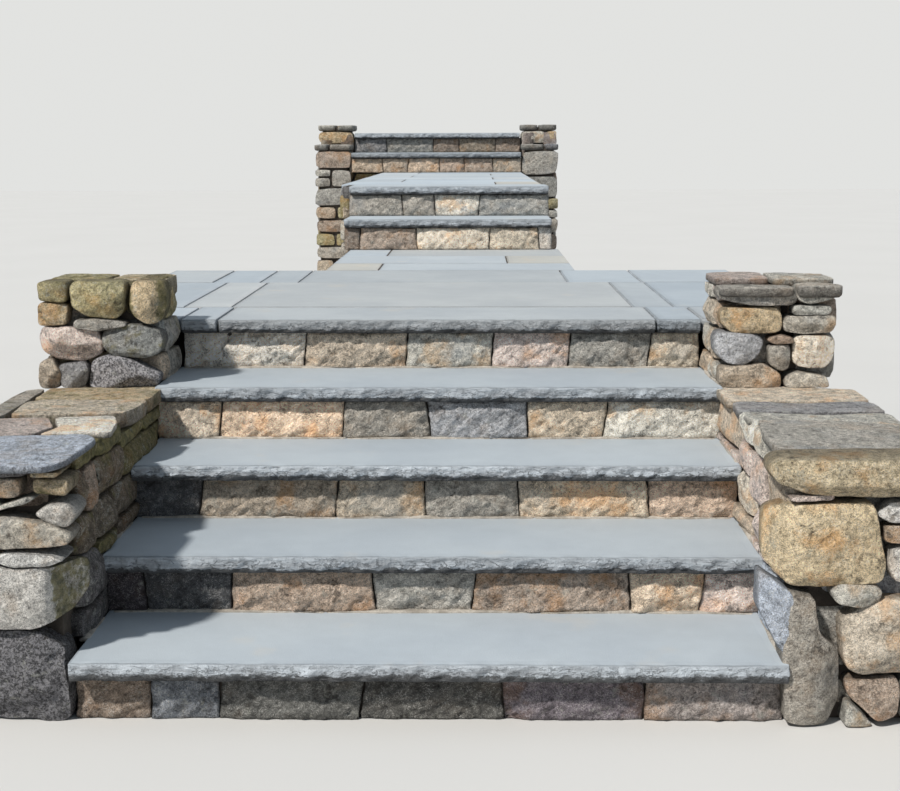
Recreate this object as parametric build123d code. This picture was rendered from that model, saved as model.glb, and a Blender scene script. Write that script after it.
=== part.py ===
from build123d import *
import os

# Outdoor stone steps: a wide lower flight between two fieldstone cheek walls,
# a paved landing, a path, and two short flights further up the slope.
# Sizes are in millimetres. X runs across the steps, Y up the slope, Z up.

# Driving sizes of the flights
rise = 176
run = 365
step_width = 1830
slab = 50
nosing = 22
bearing = 60
block_depth = 150
lower_steps = 5
joint = 6

# Landing, path and upper flights
landing_run = 1990
path_run = 1345
path_width = 1200
short_flight_steps = 2
middle_width = 1190
middle_centre = -37
upper_landing_run = 4400
upper_landing_width = 1240
upper_width = 1520
upper_centre = -230
top_depth = 420
nosing_flag = 387

# Joint lines of the paving: across from the centre line, and back from the front of each area
edge_joints = (-772, 745)
front_joints = (-966, -787, 704, 857)
back_joints = (-1036, -827, -658, 525, 849)
front_flag_depth = 1365
path_joints = (-347, 285, -360)
path_rows = (410, 490)
upper_joints = (249, -375)
upper_flag_rows = 6

# Cheek walls and piers
wall_width = 400
wall_gap = 5
cap = 55
cap_drop = 6
cap_overhang = 20
cap_setback = 1
long_stone_height = 92
long_stone_depth = 195
pier_width = 400
pier_height = 342
pier_batter = 12
pier_cap = {"left": 130, "right": 56}
pier_cap_joints = {"left": (-1180, -1005), "right": (1143,)}
pier_cap_front = 137
pier_bearing = 15
cheek_width = 340
cheek_rise = 150

# Dressing of the stone
arris = 4
pitch = 9
pillow = 7

half_step = step_width / 2
wall_inner = half_step + wall_gap
wall_outer = wall_inner + wall_width
half_landing = wall_outer
landing_step = lower_steps
middle_step = landing_step + 1
upper_step = middle_step + short_flight_steps
top_step = upper_step + short_flight_steps - 1

# Nosing lines, measured from the front of the first slab
landing_line = (lower_steps - 1) * run
path_line = landing_line + landing_run
middle_line = path_line + path_run
upper_landing_line = middle_line + run
upper_line = upper_landing_line + upper_landing_run
top_line = upper_line + run
back_line = top_line + top_depth
front_line = -cap_overhang
origin_line = (front_line + back_line) / 2


def level(step):
    """Height of the walking surface of a step, counted from the foot."""
    return step * rise


def nosing_line(step):
    """Distance of a step's front edge from the first nosing."""
    if step <= landing_step:
        return (step - 1) * run
    if step < upper_step:
        return middle_line + (step - middle_step) * run
    return upper_line + (step - upper_step) * run


def riser_line(step):
    """Front face of the riser below a step's nosing."""
    return nosing_line(step) + nosing


def bed_line(step):
    """Back face of the riser blocks, where the rubble bed begins."""
    return riser_line(step) + block_depth


def block(x_range, y_range, z_range):
    """A plain block between two corners; Y counts from the first nosing."""
    x_from, x_to = x_range
    y_from, y_to = y_range
    z_from, z_to = z_range
    size = (x_to - x_from, y_to - y_from, z_to - z_from)
    centre = ((x_from + x_to) / 2, (y_from + y_to) / 2 - origin_line, (z_from + z_to) / 2)
    return Pos(*centre) * Box(*size)


def span(centre, width):
    return (centre - width / 2, centre + width / 2)


def profile(points, x_range):
    """A shape with one side section, drawn in Y and Z and drawn out along X."""
    x_from, x_to = x_range
    corners = [(y - origin_line, z) for y, z in points]
    face = make_face(Plane.YZ * Polyline(*corners, close=True))
    return Pos(x_from, 0, 0) * extrude(face, amount=x_to - x_from)


def tapered(x_range, y_range, z_range, batter):
    """A block of walling whose four faces lean inwards by the batter."""
    x_from, x_to = x_range
    y_from, y_to = y_range
    z_from, z_to = z_range
    centre = Pos((x_from + x_to) / 2, (y_from + y_to) / 2 - origin_line, 0)
    foot = Rectangle(x_to - x_from, y_to - y_from)
    head = Rectangle(x_to - x_from - 2 * batter, y_to - y_from - 2 * batter)
    return centre * loft([Pos(0, 0, z_from) * foot, Pos(0, 0, z_to) * head])


def rock_faced(x_range, y_range, top):
    """A slab with a pitched front edge: a sharp arris above a hollowed underside."""
    y_from, y_to = y_range
    return profile([
        (y_from + arris, top),
        (y_from, top - arris),
        (y_from + arris / 2, top - slab * 0.55),
        (y_from + pitch, top - slab + arris),
        (y_from + pitch + arris, top - slab),
        (y_to, top - slab),
        (y_to, top)], x_range)


def split_block(x_range, y_range, z_range):
    """A squared riser block whose split front stands out like a pillow."""
    x_from, x_to = x_range
    y_from, y_to = y_range
    z_from, z_to = z_range
    body = block(x_range, (y_from + pillow, y_to), z_range)
    middle_x = (x_from + x_to) / 2
    middle_z = (z_from + z_to) / 2
    drawn = Plane(origin=(middle_x, y_from + pillow - origin_line, middle_z), x_dir=(1, 0, 0), z_dir=(0, -1, 0))
    foot = drawn * Rectangle(x_to - x_from, z_to - z_from)
    head = drawn.offset(pillow) * Rectangle(x_to - x_from - 4 * pillow, z_to - z_from - 4 * pillow)
    return body + loft([foot, head])


def riser(step, x_range, shares):
    """The row of blocks that carries a slab, cut to the shares of its width."""
    x_from, x_to = x_range
    width = (x_to - x_from - joint * (len(shares) - 1)) / sum(shares)
    blocks = []
    left = x_from
    for share in shares:
        right = left + share * width
        blocks.append(split_block(
            (left, right), (riser_line(step), bed_line(step)), (level(step - 1), level(step) - slab)))
        left = right + joint
    return blocks


def flags(x_cuts, y_cuts, top, thickness=slab):
    """Rectangular flat stones between joint lines."""
    pieces = []
    for y_from, y_to in zip(y_cuts, y_cuts[1:]):
        for x_from, x_to in zip(x_cuts, x_cuts[1:]):
            pieces.append(block(
                (x_from + joint / 2, x_to - joint / 2), (y_from + joint / 2, y_to - joint / 2),
                (top - thickness, top)))
    return pieces


def bed(step, x_range, y_to, z_from, slab_back):
    """Rubble behind a riser, stepped up to floor level behind the slab above it."""
    below = level(step) - slab
    return profile([
        (bed_line(step), z_from),
        (y_to, z_from),
        (y_to, level(step)),
        (slab_back, level(step)),
        (slab_back, below),
        (bed_line(step), below)], x_range)


os.makedirs("parts", exist_ok=True)


def write(name, solids):
    """Write one sub-part, of one solid or of several that stand side by side."""
    pieces = solids if isinstance(solids, list) else [solids]
    shape = pieces[0] if len(pieces) == 1 else Compound(children=pieces)
    shape.label = name
    export_step(shape, f"parts/{name}.step")


# Lower flight
flight = span(0, step_width)
flight_back = bed_line(landing_step)
lower_shares = {
    1: [75, 68, 143, 140, 141, 139],
    2: [38, 88, 144, 101, 158, 72, 57],
    3: [67, 138, 89, 94, 131, 90],
    4: [65, 127, 87, 101, 79, 118],
}
for step in range(1, landing_step):
    write(f"riser_{step}", riser(step, flight, lower_shares[step]))
    slab_back = nosing_line(step + 1) + nosing + bearing
    write(f"tread_{step}", rock_faced(flight, (nosing_line(step), slab_back), level(step)))
    write(f"step_bed_{step}", bed(step, flight, flight_back, level(step - 1), slab_back + joint))

# Wide landing: its front edge stands between the piers, its flags run out behind them
between_piers = span(0, step_width - 2 * pier_bearing - joint)
landing_top = level(landing_step)
landing_edge_back = landing_line + nosing_flag
pier_back = riser_line(landing_step)
write("riser_5", riser(landing_step, between_piers, [127, 105, 88, 79, 82, 50]))
edge_cuts = [between_piers[0], *edge_joints, between_piers[1]]
write("landing_edge", [
    rock_faced((edge_cuts[0], edge_cuts[1] - joint / 2), (landing_line, landing_edge_back), landing_top),
    rock_faced((edge_cuts[1] + joint / 2, edge_cuts[2] - joint / 2), (landing_line, landing_edge_back), landing_top),
    rock_faced((edge_cuts[2] + joint / 2, edge_cuts[3]), (landing_line, landing_edge_back), landing_top)])
flag_start = landing_edge_back + joint / 2
flag_turn = landing_line + front_flag_depth
side_start = pier_back + joint
left_edge = -half_landing - joint / 2
right_edge = half_landing + joint / 2
write("landing_flags_front", flags(front_joints[1:3], [flag_start, flag_turn], landing_top))
write("landing_flags_back", flags(back_joints[1:], [flag_turn, path_line], landing_top))
write("landing_flags_left", [
    *flags([left_edge, between_piers[0] - joint], [side_start, landing_edge_back], landing_top),
    *flags([left_edge, *front_joints[:2]], [flag_start, flag_turn], landing_top),
    *flags([left_edge, *back_joints[:2]], [flag_turn, path_line], landing_top)])
write("landing_flags_right", [
    *flags([between_piers[1] + joint, right_edge], [side_start, landing_edge_back], landing_top),
    *flags([*front_joints[2:], right_edge], [flag_start, flag_turn], landing_top),
    *flags([back_joints[-1], right_edge], [flag_turn, path_line], landing_top)])
write("landing_bed", block((-half_landing, half_landing), (flight_back, path_line), (0, landing_top - slab)))

# Path to the middle flight
path = span(0, path_width)
path_end = riser_line(middle_step) + bearing
path_lines = [path_line, path_line + path_rows[0], path_line + sum(path_rows), path_end]
middle_bed = bed_line(middle_step)
path_flags = []
for across, y_from, y_to in zip(path_joints, path_lines, path_lines[1:]):
    path_flags += flags([path[0] - joint / 2, across, path[1] + joint / 2], [y_from, y_to], landing_top)
write("path_flags", path_flags)
write("path_bed", profile([
    (path_line, 0),
    (middle_bed, 0),
    (middle_bed, landing_top),
    (path_end, landing_top),
    (path_end, landing_top - slab),
    (path_line, landing_top - slab)], path))

# Middle flight of two steps
middle = span(middle_centre, middle_width)
middle_shares = {6: [16, 59, 76, 51, 13], 7: [52, 31, 43, 68]}
upper_landing_top = level(middle_step + 1)
for step in (middle_step, middle_step + 1):
    write(f"riser_{step}", riser(step, middle, middle_shares[step]))
tread_6_back = riser_line(middle_step + 1) + bearing
write("tread_6", rock_faced(middle, (middle_line, tread_6_back), level(middle_step)))
write("step_bed_6", bed(middle_step, middle, bed_line(middle_step + 1), 0, tread_6_back + joint))
upper_edge_back = upper_landing_line + nosing_flag
write("tread_7", rock_faced(middle, (upper_landing_line, upper_edge_back), upper_landing_top))

# Upper landing, lined up with the right end of the upper flight
upper = span(upper_centre, upper_width)
upper_landing = (upper[1] - upper_landing_width, upper[1])
upper_flag_end = riser_line(upper_step) + bearing
row = (upper_flag_end - upper_edge_back) / upper_flag_rows
upper_rows = [upper_edge_back + joint / 2 + row * count for count in range(upper_flag_rows + 1)]
upper_flags = []
for count, (y_from, y_to) in enumerate(zip(upper_rows, upper_rows[1:])):
    across = [upper_landing[0] - joint / 2, upper_joints[count % 2], upper_landing[1] + joint / 2]
    upper_flags += flags(across, [y_from, y_to], upper_landing_top)
write("upper_landing_flags", upper_flags)
upper_bed_line = bed_line(upper_step)
write("upper_landing_bed", profile([
    (bed_line(middle_step + 1), 0),
    (upper_bed_line, 0),
    (upper_bed_line, upper_landing_top),
    (upper_rows[-1], upper_landing_top),
    (upper_rows[-1], upper_landing_top - slab),
    (bed_line(middle_step + 1), upper_landing_top - slab)], upper_landing))

# Upper flight of two steps
write("riser_8", riser(upper_step, upper, [42, 34, 42, 33, 38, 38]))
write("riser_9", riser(top_step, upper, [30, 44, 24, 34, 23]))
tread_8_back = riser_line(top_step) + bearing
write("tread_8", rock_faced(upper, (upper_line, tread_8_back), level(upper_step)))
write("tread_9", rock_faced(upper, (top_line, back_line), level(top_step)))
write("step_bed_8", bed(upper_step, upper, bed_line(top_step), 0, tread_8_back + joint))
write("top_bed", block(upper, (bed_line(top_step), back_line), (0, level(top_step) - slab)))

# Stepped cheeks of the upper flight
cheek_front = riser_line(upper_step)
for side, inner, outer in (
        ("right", upper[1], upper[1] + cheek_width),
        ("left", upper[0] - cheek_width, upper[0])):
    write(f"upper_cheek_{side}", profile([
        (cheek_front, 0),
        (back_line, 0),
        (back_line, level(top_step) + cheek_rise / 2),
        (top_line, level(top_step) + cheek_rise / 2),
        (top_line, level(upper_step) + cheek_rise / 2),
        (cheek_front, level(upper_step) + cheek_rise / 2)], (inner, outer)))

# Cheek walls of the lower flight, with their caps and piers
pier_line = nosing_line(landing_step - 1)
wall_top = level(landing_step - 1)
front_top = wall_top - cap_drop
cap_turn = run * 1.6
pier_inner = half_step - pier_bearing
for side, sign in (("left", -1), ("right", 1)):
    wall_x = sorted((sign * wall_inner, sign * wall_outer))
    cap_x = sorted((sign * (wall_inner + cap_setback), sign * (wall_outer + cap_overhang)))
    pier_x = sorted((sign * pier_inner, sign * (pier_inner + pier_width)))
    front_outline = [(0, front_top - cap)]
    front_caps = [block(cap_x, (front_line, cap_turn - joint), (front_top - cap, front_top))]
    if side == "right":
        long_back = front_line + long_stone_depth
        front_outline = [
            (long_back, front_top - cap),
            (long_back, front_top - long_stone_height),
            (0, front_top - long_stone_height)]
        front_caps = [
            block(cap_x, (front_line, long_back - joint), (front_top - long_stone_height, front_top)),
            block(cap_x, (long_back, cap_turn - joint), (front_top - cap, front_top))]
    write(f"{side}_wall", profile([
        (0, 0),
        (flight_back, 0),
        (flight_back, landing_top - slab),
        (pier_back, landing_top - slab),
        (pier_back, wall_top - cap),
        (cap_turn, wall_top - cap),
        (cap_turn, front_top - cap),
        *front_outline], wall_x))
    write(f"{side}_wall_cap", [
        *front_caps,
        block(cap_x, (cap_turn, pier_line - joint), (wall_top - cap, wall_top)),
        block(cap_x, (pier_line, pier_back), (wall_top - cap, wall_top))])
    pier_top = wall_top + pier_height
    cap_foot = pier_top - pier_cap[side]
    write(f"{side}_pier", tapered(pier_x, (pier_line, pier_back), (wall_top, cap_foot), pier_batter))
    write(f"{side}_pier_cap", flags(
        [pier_x[0] - joint / 2, *pier_cap_joints[side], pier_x[1] + joint / 2],
        [pier_line - joint / 2, pier_line + pier_cap_front, pier_back + joint / 2], pier_top, pier_cap[side]))
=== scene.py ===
"""Outdoor stone steps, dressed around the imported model.

Every size is in metres. X runs across the steps, Y up the slope, Z up.
"""
import math
import random

import bpy
import numpy as np
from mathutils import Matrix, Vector


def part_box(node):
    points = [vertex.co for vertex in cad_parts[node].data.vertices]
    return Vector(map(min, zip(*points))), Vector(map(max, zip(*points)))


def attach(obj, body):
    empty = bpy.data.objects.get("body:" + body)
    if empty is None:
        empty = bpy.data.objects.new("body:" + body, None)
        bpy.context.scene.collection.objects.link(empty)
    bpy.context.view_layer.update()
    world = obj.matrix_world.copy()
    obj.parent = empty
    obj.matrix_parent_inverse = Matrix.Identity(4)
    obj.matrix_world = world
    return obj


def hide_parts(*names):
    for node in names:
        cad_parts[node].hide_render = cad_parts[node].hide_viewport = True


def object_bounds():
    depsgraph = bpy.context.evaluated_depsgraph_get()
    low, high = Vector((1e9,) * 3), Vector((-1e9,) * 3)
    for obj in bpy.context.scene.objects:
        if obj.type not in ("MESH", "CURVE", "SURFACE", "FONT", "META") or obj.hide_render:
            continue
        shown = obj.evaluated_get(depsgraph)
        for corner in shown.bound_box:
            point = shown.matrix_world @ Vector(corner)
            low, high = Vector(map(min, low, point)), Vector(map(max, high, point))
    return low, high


bl_info = {
    "name": "Outdoor stone steps",
    "version": (1, 0, 0),
    "blender": (4, 5, 0),
    "location": "3D View > Sidebar > Stone steps",
    "description": "Dresses a run of garden steps in bluestone, split granite and fieldstone",
    "category": "Add Mesh",
}

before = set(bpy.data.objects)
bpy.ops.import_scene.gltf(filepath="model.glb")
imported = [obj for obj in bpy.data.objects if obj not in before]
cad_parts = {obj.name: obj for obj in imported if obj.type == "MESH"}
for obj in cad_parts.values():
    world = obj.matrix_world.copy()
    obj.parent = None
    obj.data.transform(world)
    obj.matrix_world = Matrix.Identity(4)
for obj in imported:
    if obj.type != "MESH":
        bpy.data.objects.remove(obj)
CAD_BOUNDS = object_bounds()
BODY = "root"
MM = 0.001

# Lines of the steps, read from the frame
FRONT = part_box("tread_1")[0].y
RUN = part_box("tread_2")[0].y - FRONT
HALF_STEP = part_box("tread_1")[1].x
PIER_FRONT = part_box("left_pier")[0].y
PIER_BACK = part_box("left_pier")[1].y

# Camera of the photograph, solved from the ends and edges of the lower slabs
CAMERA_PLACE = (122 * MM, -3460 * MM, 1470 * MM)
CAMERA_PITCH = math.radians(9.868)
CAMERA_TURN = math.radians(1.001)
CAMERA_ROLL = math.radians(0.164)
FOCAL_PIXELS = 1437.1
PHOTO_WIDTH = 900
SENSOR_MM = 36.0

# Tones of the stones, as they look in full light
TONES = {
    "tan": (0.60, 0.49, 0.375),
    "brown": (0.46, 0.355, 0.275),
    "ochre": (0.60, 0.48, 0.31),
    "gold": (0.66, 0.55, 0.42),
    "orange": (0.84, 0.65, 0.48),
    "pink": (0.64, 0.545, 0.495),
    "cream": (0.74, 0.65, 0.53),
    "white": (0.76, 0.74, 0.70),
    "grey": (0.48, 0.45, 0.40),
    "pale": (0.66, 0.62, 0.54),
    "slate": (0.36, 0.36, 0.37),
    "blue": (0.40, 0.44, 0.50),
    "green": (0.34, 0.34, 0.32),
    "dark": (0.15, 0.145, 0.15),
    "purple": (0.27, 0.23, 0.25),
    "speckled": (0.47, 0.45, 0.45),
    "speckled_dark": (0.20, 0.195, 0.20),
    "moss": (0.44, 0.38, 0.21),
    # Darkened moss and brown: painted shade for the left cheek, which lies in shade
    "shaded_moss": (0.21, 0.18, 0.08),
    "umber": (0.22, 0.175, 0.125),
    "sky": (0.49, 0.545, 0.635),
    "bone": (0.92, 0.86, 0.75),
}
# Tones that hardly rust
COOL_TONES = ("blue", "sky", "slate", "white", "grey", "dark", "green")
COOL_RUST = 0.35
WARM_RUST = 1.0
# A rust below nought makes a stone coarse black and white instead
SPECKLED_RUST = -1.0
# How much a stone's light may differ from its tone's, and how much of that turns it warm or cool
TONE_SPREAD = 0.10
WARM_SHARE = 0.35
# How far the grain of the stones leans from level
BEDDING_ANGLE = math.radians(38.0)


def rust_of(tone):
    """How rusty the stones of a tone are."""
    if tone.startswith("speckled"):
        return SPECKLED_RUST
    return COOL_RUST if tone in COOL_TONES else WARM_RUST


# Shader and geometry maths written as expressions

class Value:
    """One socket of a node tree, used in plain arithmetic."""

    def __init__(self, graph, socket):
        self.graph = graph
        self.socket = socket

    def maths(self, operation, *others):
        return self.graph.node(
            "ShaderNodeMath", {"operation": operation}, dict(enumerate((self, *others))))

    def __add__(self, other):
        return self.maths("ADD", other)

    def __radd__(self, other):
        return self.maths("ADD", other)

    def __sub__(self, other):
        return self.maths("SUBTRACT", other)

    def __rsub__(self, other):
        return self.graph.node("ShaderNodeMath", {"operation": "SUBTRACT"}, {0: other, 1: self})

    def __mul__(self, other):
        return self.maths("MULTIPLY", other)

    def __rmul__(self, other):
        return self.maths("MULTIPLY", other)

    def clamped(self):
        return self.graph.node("ShaderNodeClamp", {}, {"Value": self})

    def ramp(self, low, high):
        """A smooth step from nought to one as the value goes from low to high."""
        return self.graph.node(
            "ShaderNodeMapRange", {"interpolation_type": "SMOOTHSTEP"},
            {"Value": self, "From Min": low, "From Max": high})


class Graph:
    """Adds nodes to a shader or geometry tree."""

    def __init__(self, tree):
        self.tree = tree

    def node(self, kind, settings=None, values=None, output=0):
        """Makes one node: its settings first, then the values or links of its sockets."""
        made = self.tree.nodes.new(kind)
        for name, setting in (settings or {}).items():
            setattr(made, name, setting)
        for name, value in (values or {}).items():
            if isinstance(value, Value):
                self.tree.links.new(value.socket, made.inputs[name])
            else:
                made.inputs[name].default_value = value
        return None if output is None else Value(self, made.outputs[output])

    def vector(self, operation, *values):
        return self.node("ShaderNodeVectorMath", {"operation": operation}, dict(enumerate(values)))

    def scaled(self, vector, factor):
        """A vector made longer or shorter, or a colour made lighter or darker."""
        return self.node(
            "ShaderNodeVectorMath", {"operation": "SCALE"}, {"Vector": vector, "Scale": factor})

    def bedded(self, place):
        """A place turned so that its layers lean as the grain of the stones does."""
        return self.node(
            "ShaderNodeVectorRotate", {"rotation_type": "Y_AXIS"},
            {"Vector": place, "Angle": BEDDING_ANGLE}, "Vector")

    def noise(self, place, scale, detail, roughness=0.55, output="Fac"):
        return self.node(
            "ShaderNodeTexNoise", {},
            {"Vector": place, "Scale": scale, "Detail": detail, "Roughness": roughness}, output)

    def cells(self, place, scale, output="Color"):
        return self.node("ShaderNodeTexVoronoi", {}, {"Vector": place, "Scale": scale}, output)

    def times(self, first, second):
        """Multiplies two vectors or colours, part by part."""
        return self.vector("MULTIPLY", first, second)

    def mix(self, amount, first, second):
        """Blends two colours; either may be three plain numbers."""
        first, second = (
            colour if isinstance(colour, Value) else rgba(colour) for colour in (first, second))
        return self.node(
            "ShaderNodeMix", {"data_type": "RGBA"}, {"Factor": amount, 6: first, 7: second}, 2)

    def stored(self, name, kind):
        """A value kept on the mesh."""
        if self.tree.bl_idname == "GeometryNodeTree":
            return self.node(
                "GeometryNodeInputNamedAttribute", {"data_type": kind}, {"Name": name}, "Attribute")
        outputs = {"FLOAT": "Fac", "FLOAT_VECTOR": "Vector", "FLOAT_COLOR": "Color"}
        return self.node("ShaderNodeAttribute", {"attribute_name": name}, {}, outputs[kind])


def rgba(colour):
    return (*colour, 1.0)


# Materials

# Highlights, and how deep the bumps are in metres
STONE_GLOSS = 0.35
BUMP_DEPTHS = {"bluestone": 0.003, "fieldstone": 0.009, "mortar": 0.004, "floor": 0.001}
# Colours that only show in spots
STAIN = (0.52, 0.50, 0.46)
# Painted shade at the feet of the slabs' split edges, broken into dark pits
PIT_AND_FOOT_SHADE = (0.045, 0.044, 0.043)
SLAB_CRACK = (0.06, 0.062, 0.066)
DARK_SPECK = (0.05, 0.045, 0.04)
LIGHT_SPECK = (0.80, 0.77, 0.72)
BLACK_GRAIN = (0.035, 0.035, 0.04)
WHITE_GRAIN = (0.62, 0.61, 0.62)
SCAR = (0.075, 0.066, 0.058)
# What rust and rain do to the tint of a stone
RUST_TURN = (1.18, 0.82, 0.50)
WASHED_TURN = (0.72, 0.82, 0.98)


def new_material(name):
    made = bpy.data.materials.new(name)
    made.use_nodes = True
    made.node_tree.nodes.clear()
    return made, Graph(made.node_tree)


def finish_material(made, graph, colour, roughness, height, distance):
    """Sends colour, roughness and bump to one surface shader."""
    bump = graph.node(
        "ShaderNodeBump", {}, {"Strength": 1.0, "Distance": distance, "Height": height}, "Normal")
    shader = graph.node(
        "ShaderNodeBsdfPrincipled", {},
        {"Base Color": colour, "Roughness": roughness, "Normal": bump, "Specular IOR Level": STONE_GLOSS})
    graph.node("ShaderNodeOutputMaterial", {}, {"Surface": shader}, None)
    return made


def stone_place(graph):
    """Object coordinates moved apart for each stone, so that no pattern runs across a joint."""
    place = graph.node("ShaderNodeTexCoord", {}, {}, "Object")
    return graph.vector("ADD", place, graph.stored("seed", "FLOAT_VECTOR"))


def bluestone_material():
    """Blue-grey sandstone: a smooth mottled top and darker split edges, with painted shade at their feet
    and painted light at their heads.
    """
    look = bpy.context.scene.stone_steps_finish
    made, graph = new_material("bluestone")
    place = stone_place(graph)
    tint = graph.stored("tint", "FLOAT_COLOR")
    split = graph.stored("edge", "FLOAT")
    broad = graph.noise(place, 2.2, 2.0)
    cloud = graph.noise(place, 14.0, 5.0)
    grain = graph.noise(place, 420.0, 2.0)
    top = graph.mix(broad.ramp(0.35, 0.65), look.top_colour, look.top_shade)
    top = graph.scaled(top, 0.90 + cloud * 0.13 + grain * 0.07)
    stain = graph.noise(place, 5.0, 4.0).ramp(0.60, 0.74) * 0.35
    top = graph.mix(stain, top, STAIN)
    layers = graph.noise(graph.times(place, (9.0, 9.0, 70.0)), 1.0, 5.0, 0.65)
    flakes = graph.noise(place, 60.0, 4.0, 0.7)
    face = graph.mix(layers.ramp(0.30, 0.70), look.edge_shade, look.edge_colour)
    face = graph.scaled(face, (0.70 + flakes * 0.70) * graph.stored("rust", "FLOAT"))
    # On the slabs the moss value holds the painted shade of each split edge's foot; with the ragged noise
    # it makes a dark band there, painted shade broken into pits
    ragged = graph.noise(graph.times(place, (34.0, 34.0, 60.0)), 1.0, 6.0, 0.75)
    pits_and_foot_shade = (graph.stored("moss", "FLOAT") * 0.60 + ragged * 1.3).ramp(0.88, 1.02) * split
    face = graph.mix(pits_and_foot_shade * 0.86, face, PIT_AND_FOOT_SHADE)
    shells = graph.noise(graph.times(place, (22.0, 22.0, 48.0)), 1.0, 3.0, 0.6)
    cracks = (shells - 0.5).maths("ABSOLUTE").ramp(0.045, 0.006) * flakes.ramp(0.42, 0.56) * split
    face = graph.mix(cracks * 0.75, face, SLAB_CRACK)
    colour = graph.times(graph.mix(split.clamped(), top, face), tint)
    roughness = 0.78 - 0.10 * cloud
    height = (
        grain * 0.25 + cloud * 0.5
        + split * (layers * 2.6 + flakes * 4.0 + shells * 4.0 - pits_and_foot_shade - cracks * 1.5))
    return finish_material(made, graph, colour, roughness, height, BUMP_DEPTHS["bluestone"])


def fieldstone_material():
    """Granite and gneiss: each stone has its own tint, with specks, bands, rust, lichen and moss."""
    look = bpy.context.scene.stone_steps_finish
    made, graph = new_material("fieldstone")
    place = stone_place(graph)
    tint = graph.stored("tint", "FLOAT_COLOR")
    moss = graph.stored("moss", "FLOAT")
    edge = graph.stored("edge", "FLOAT")
    cloud = graph.noise(place, 11.0, 5.0, 0.6)
    patch = graph.noise(place, 38.0, 5.0, 0.7)
    fleck = graph.noise(place, 105.0, 4.0, 0.75)
    grain = graph.noise(place, 230.0, 3.0, 0.75)
    band = graph.noise(graph.times(graph.bedded(place), (9.0, 9.0, 60.0)), 1.0, 4.0, 0.7)
    colour = graph.scaled(
        tint, 0.08 + cloud.ramp(0.3, 0.7) * 0.34 + patch.ramp(0.34, 0.66) * 0.58
        + fleck.ramp(0.36, 0.64) * 0.52 + grain.ramp(0.32, 0.68) * 0.54)
    rusting = graph.stored("rust", "FLOAT")
    rust = graph.noise(place, 8.0, 5.0, 0.65).ramp(0.50, 0.66) * 0.6 * rusting.clamped()
    colour = graph.mix(rust, colour, graph.times(tint, RUST_TURN))
    wash = graph.noise(place, 6.0, 4.0, 0.6).ramp(0.55, 0.72) * 0.45
    colour = graph.mix(wash, colour, graph.times(tint, WASHED_TURN))
    colour = graph.scaled(colour, 0.70 + band * 0.60)
    speck = graph.cells(place, 480.0)
    chance = graph.node("ShaderNodeSeparateColor", {}, {"Color": speck}, "Red")
    dark = chance.ramp(0.20, 0.16) * grain.ramp(0.35, 0.60)
    light = chance.ramp(0.80, 0.84) * patch.ramp(0.40, 0.60)
    colour = graph.mix(dark * 0.65, colour, DARK_SPECK)
    colour = graph.mix(light * 0.45, colour, LIGHT_SPECK)
    coarse = graph.noise(place, 75.0, 4.0, 0.7) * 0.5 + graph.noise(place, 170.0, 3.0, 0.7) * 0.5
    blotch = graph.mix(coarse.ramp(0.47, 0.53), BLACK_GRAIN, WHITE_GRAIN)
    blotch = graph.times(blotch, graph.scaled(tint, 2.0))
    colour = graph.mix((rusting * -1.0).clamped() * 0.70, colour, blotch)
    crust = graph.noise(place, 24.0, 6.0, 0.78).ramp(0.57, 0.64) * (0.35 + moss * 0.4)
    colour = graph.mix(crust, colour, look.lichen_colour)
    scar = graph.noise(place, 19.0, 6.0, 0.8).ramp(0.40, 0.33) * 0.55
    colour = graph.mix(scar, colour, SCAR)
    growth = (graph.noise(place, 15.0, 6.0, 0.75) + moss * 0.5).ramp(0.74, 0.92) * moss.ramp(0.02, 0.25)
    green = graph.mix(patch.ramp(0.35, 0.65), look.moss_colour, look.moss_light)
    colour = graph.mix(growth * 0.85, colour, green)
    # Painted shade in the joints: the arrises, hidden sides and rims of the stones darken as they turn into
    # the joints
    colour = graph.scaled(colour, 1.0 - edge * 0.55)
    roughness = 0.86 - 0.10 * grain
    height = cloud * 1.4 + patch * 2.0 + fleck * 1.3 + grain * 0.9 + band * 1.2 - dark * 0.3 - scar * 0.8
    return finish_material(made, graph, colour, roughness, height, BUMP_DEPTHS["fieldstone"])


def sandy_material(name, clouds, cloud_end, sand_scale, dark, light):
    """Lime and sand; clouds are the scale, detail and roughness of the mottling between two colours."""
    made, graph = new_material(name)
    place = graph.node("ShaderNodeTexCoord", {}, {}, "Object")
    cloud = graph.noise(place, *clouds)
    sand = graph.noise(place, sand_scale, 3.0, 0.7)
    colour = graph.mix(cloud.ramp(0.35, cloud_end), dark, light)
    colour = graph.scaled(colour, 0.7 + sand * 0.6)
    return finish_material(
        made, graph, colour, 0.95 - 0.05 * sand, cloud * 2.0 + sand, BUMP_DEPTHS["mortar"])


def mortar_material():
    """Old lime mortar and earth deep in the joints."""
    return sandy_material(
        "joint_mortar", (12.0, 4.0, 0.55), 0.7, 260.0, (0.045, 0.038, 0.032), (0.11, 0.092, 0.075))


def pointing_material():
    """Pale lime pointing where the slabs meet the walls and the risers."""
    return sandy_material(
        "lime_pointing", (25.0, 5.0, 0.7), 0.65, 300.0, (0.36, 0.32, 0.27), (0.62, 0.57, 0.50))


def stage_material():
    made, graph = new_material("pale_floor")
    place = graph.node("ShaderNodeTexCoord", {}, {}, "Object")
    cloud = graph.noise(place, 0.7, 2.0)
    colour = graph.mix(cloud, (0.64, 0.63, 0.61), (0.68, 0.67, 0.65))
    return finish_material(made, graph, colour, 0.95 - 0.02 * cloud, cloud, BUMP_DEPTHS["floor"])


MATERIAL_MAKERS = {
    "bluestone": bluestone_material, "fieldstone": fieldstone_material, "mortar": mortar_material,
    "pointing": pointing_material, "stage": stage_material}
MATERIALS = {}


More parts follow.
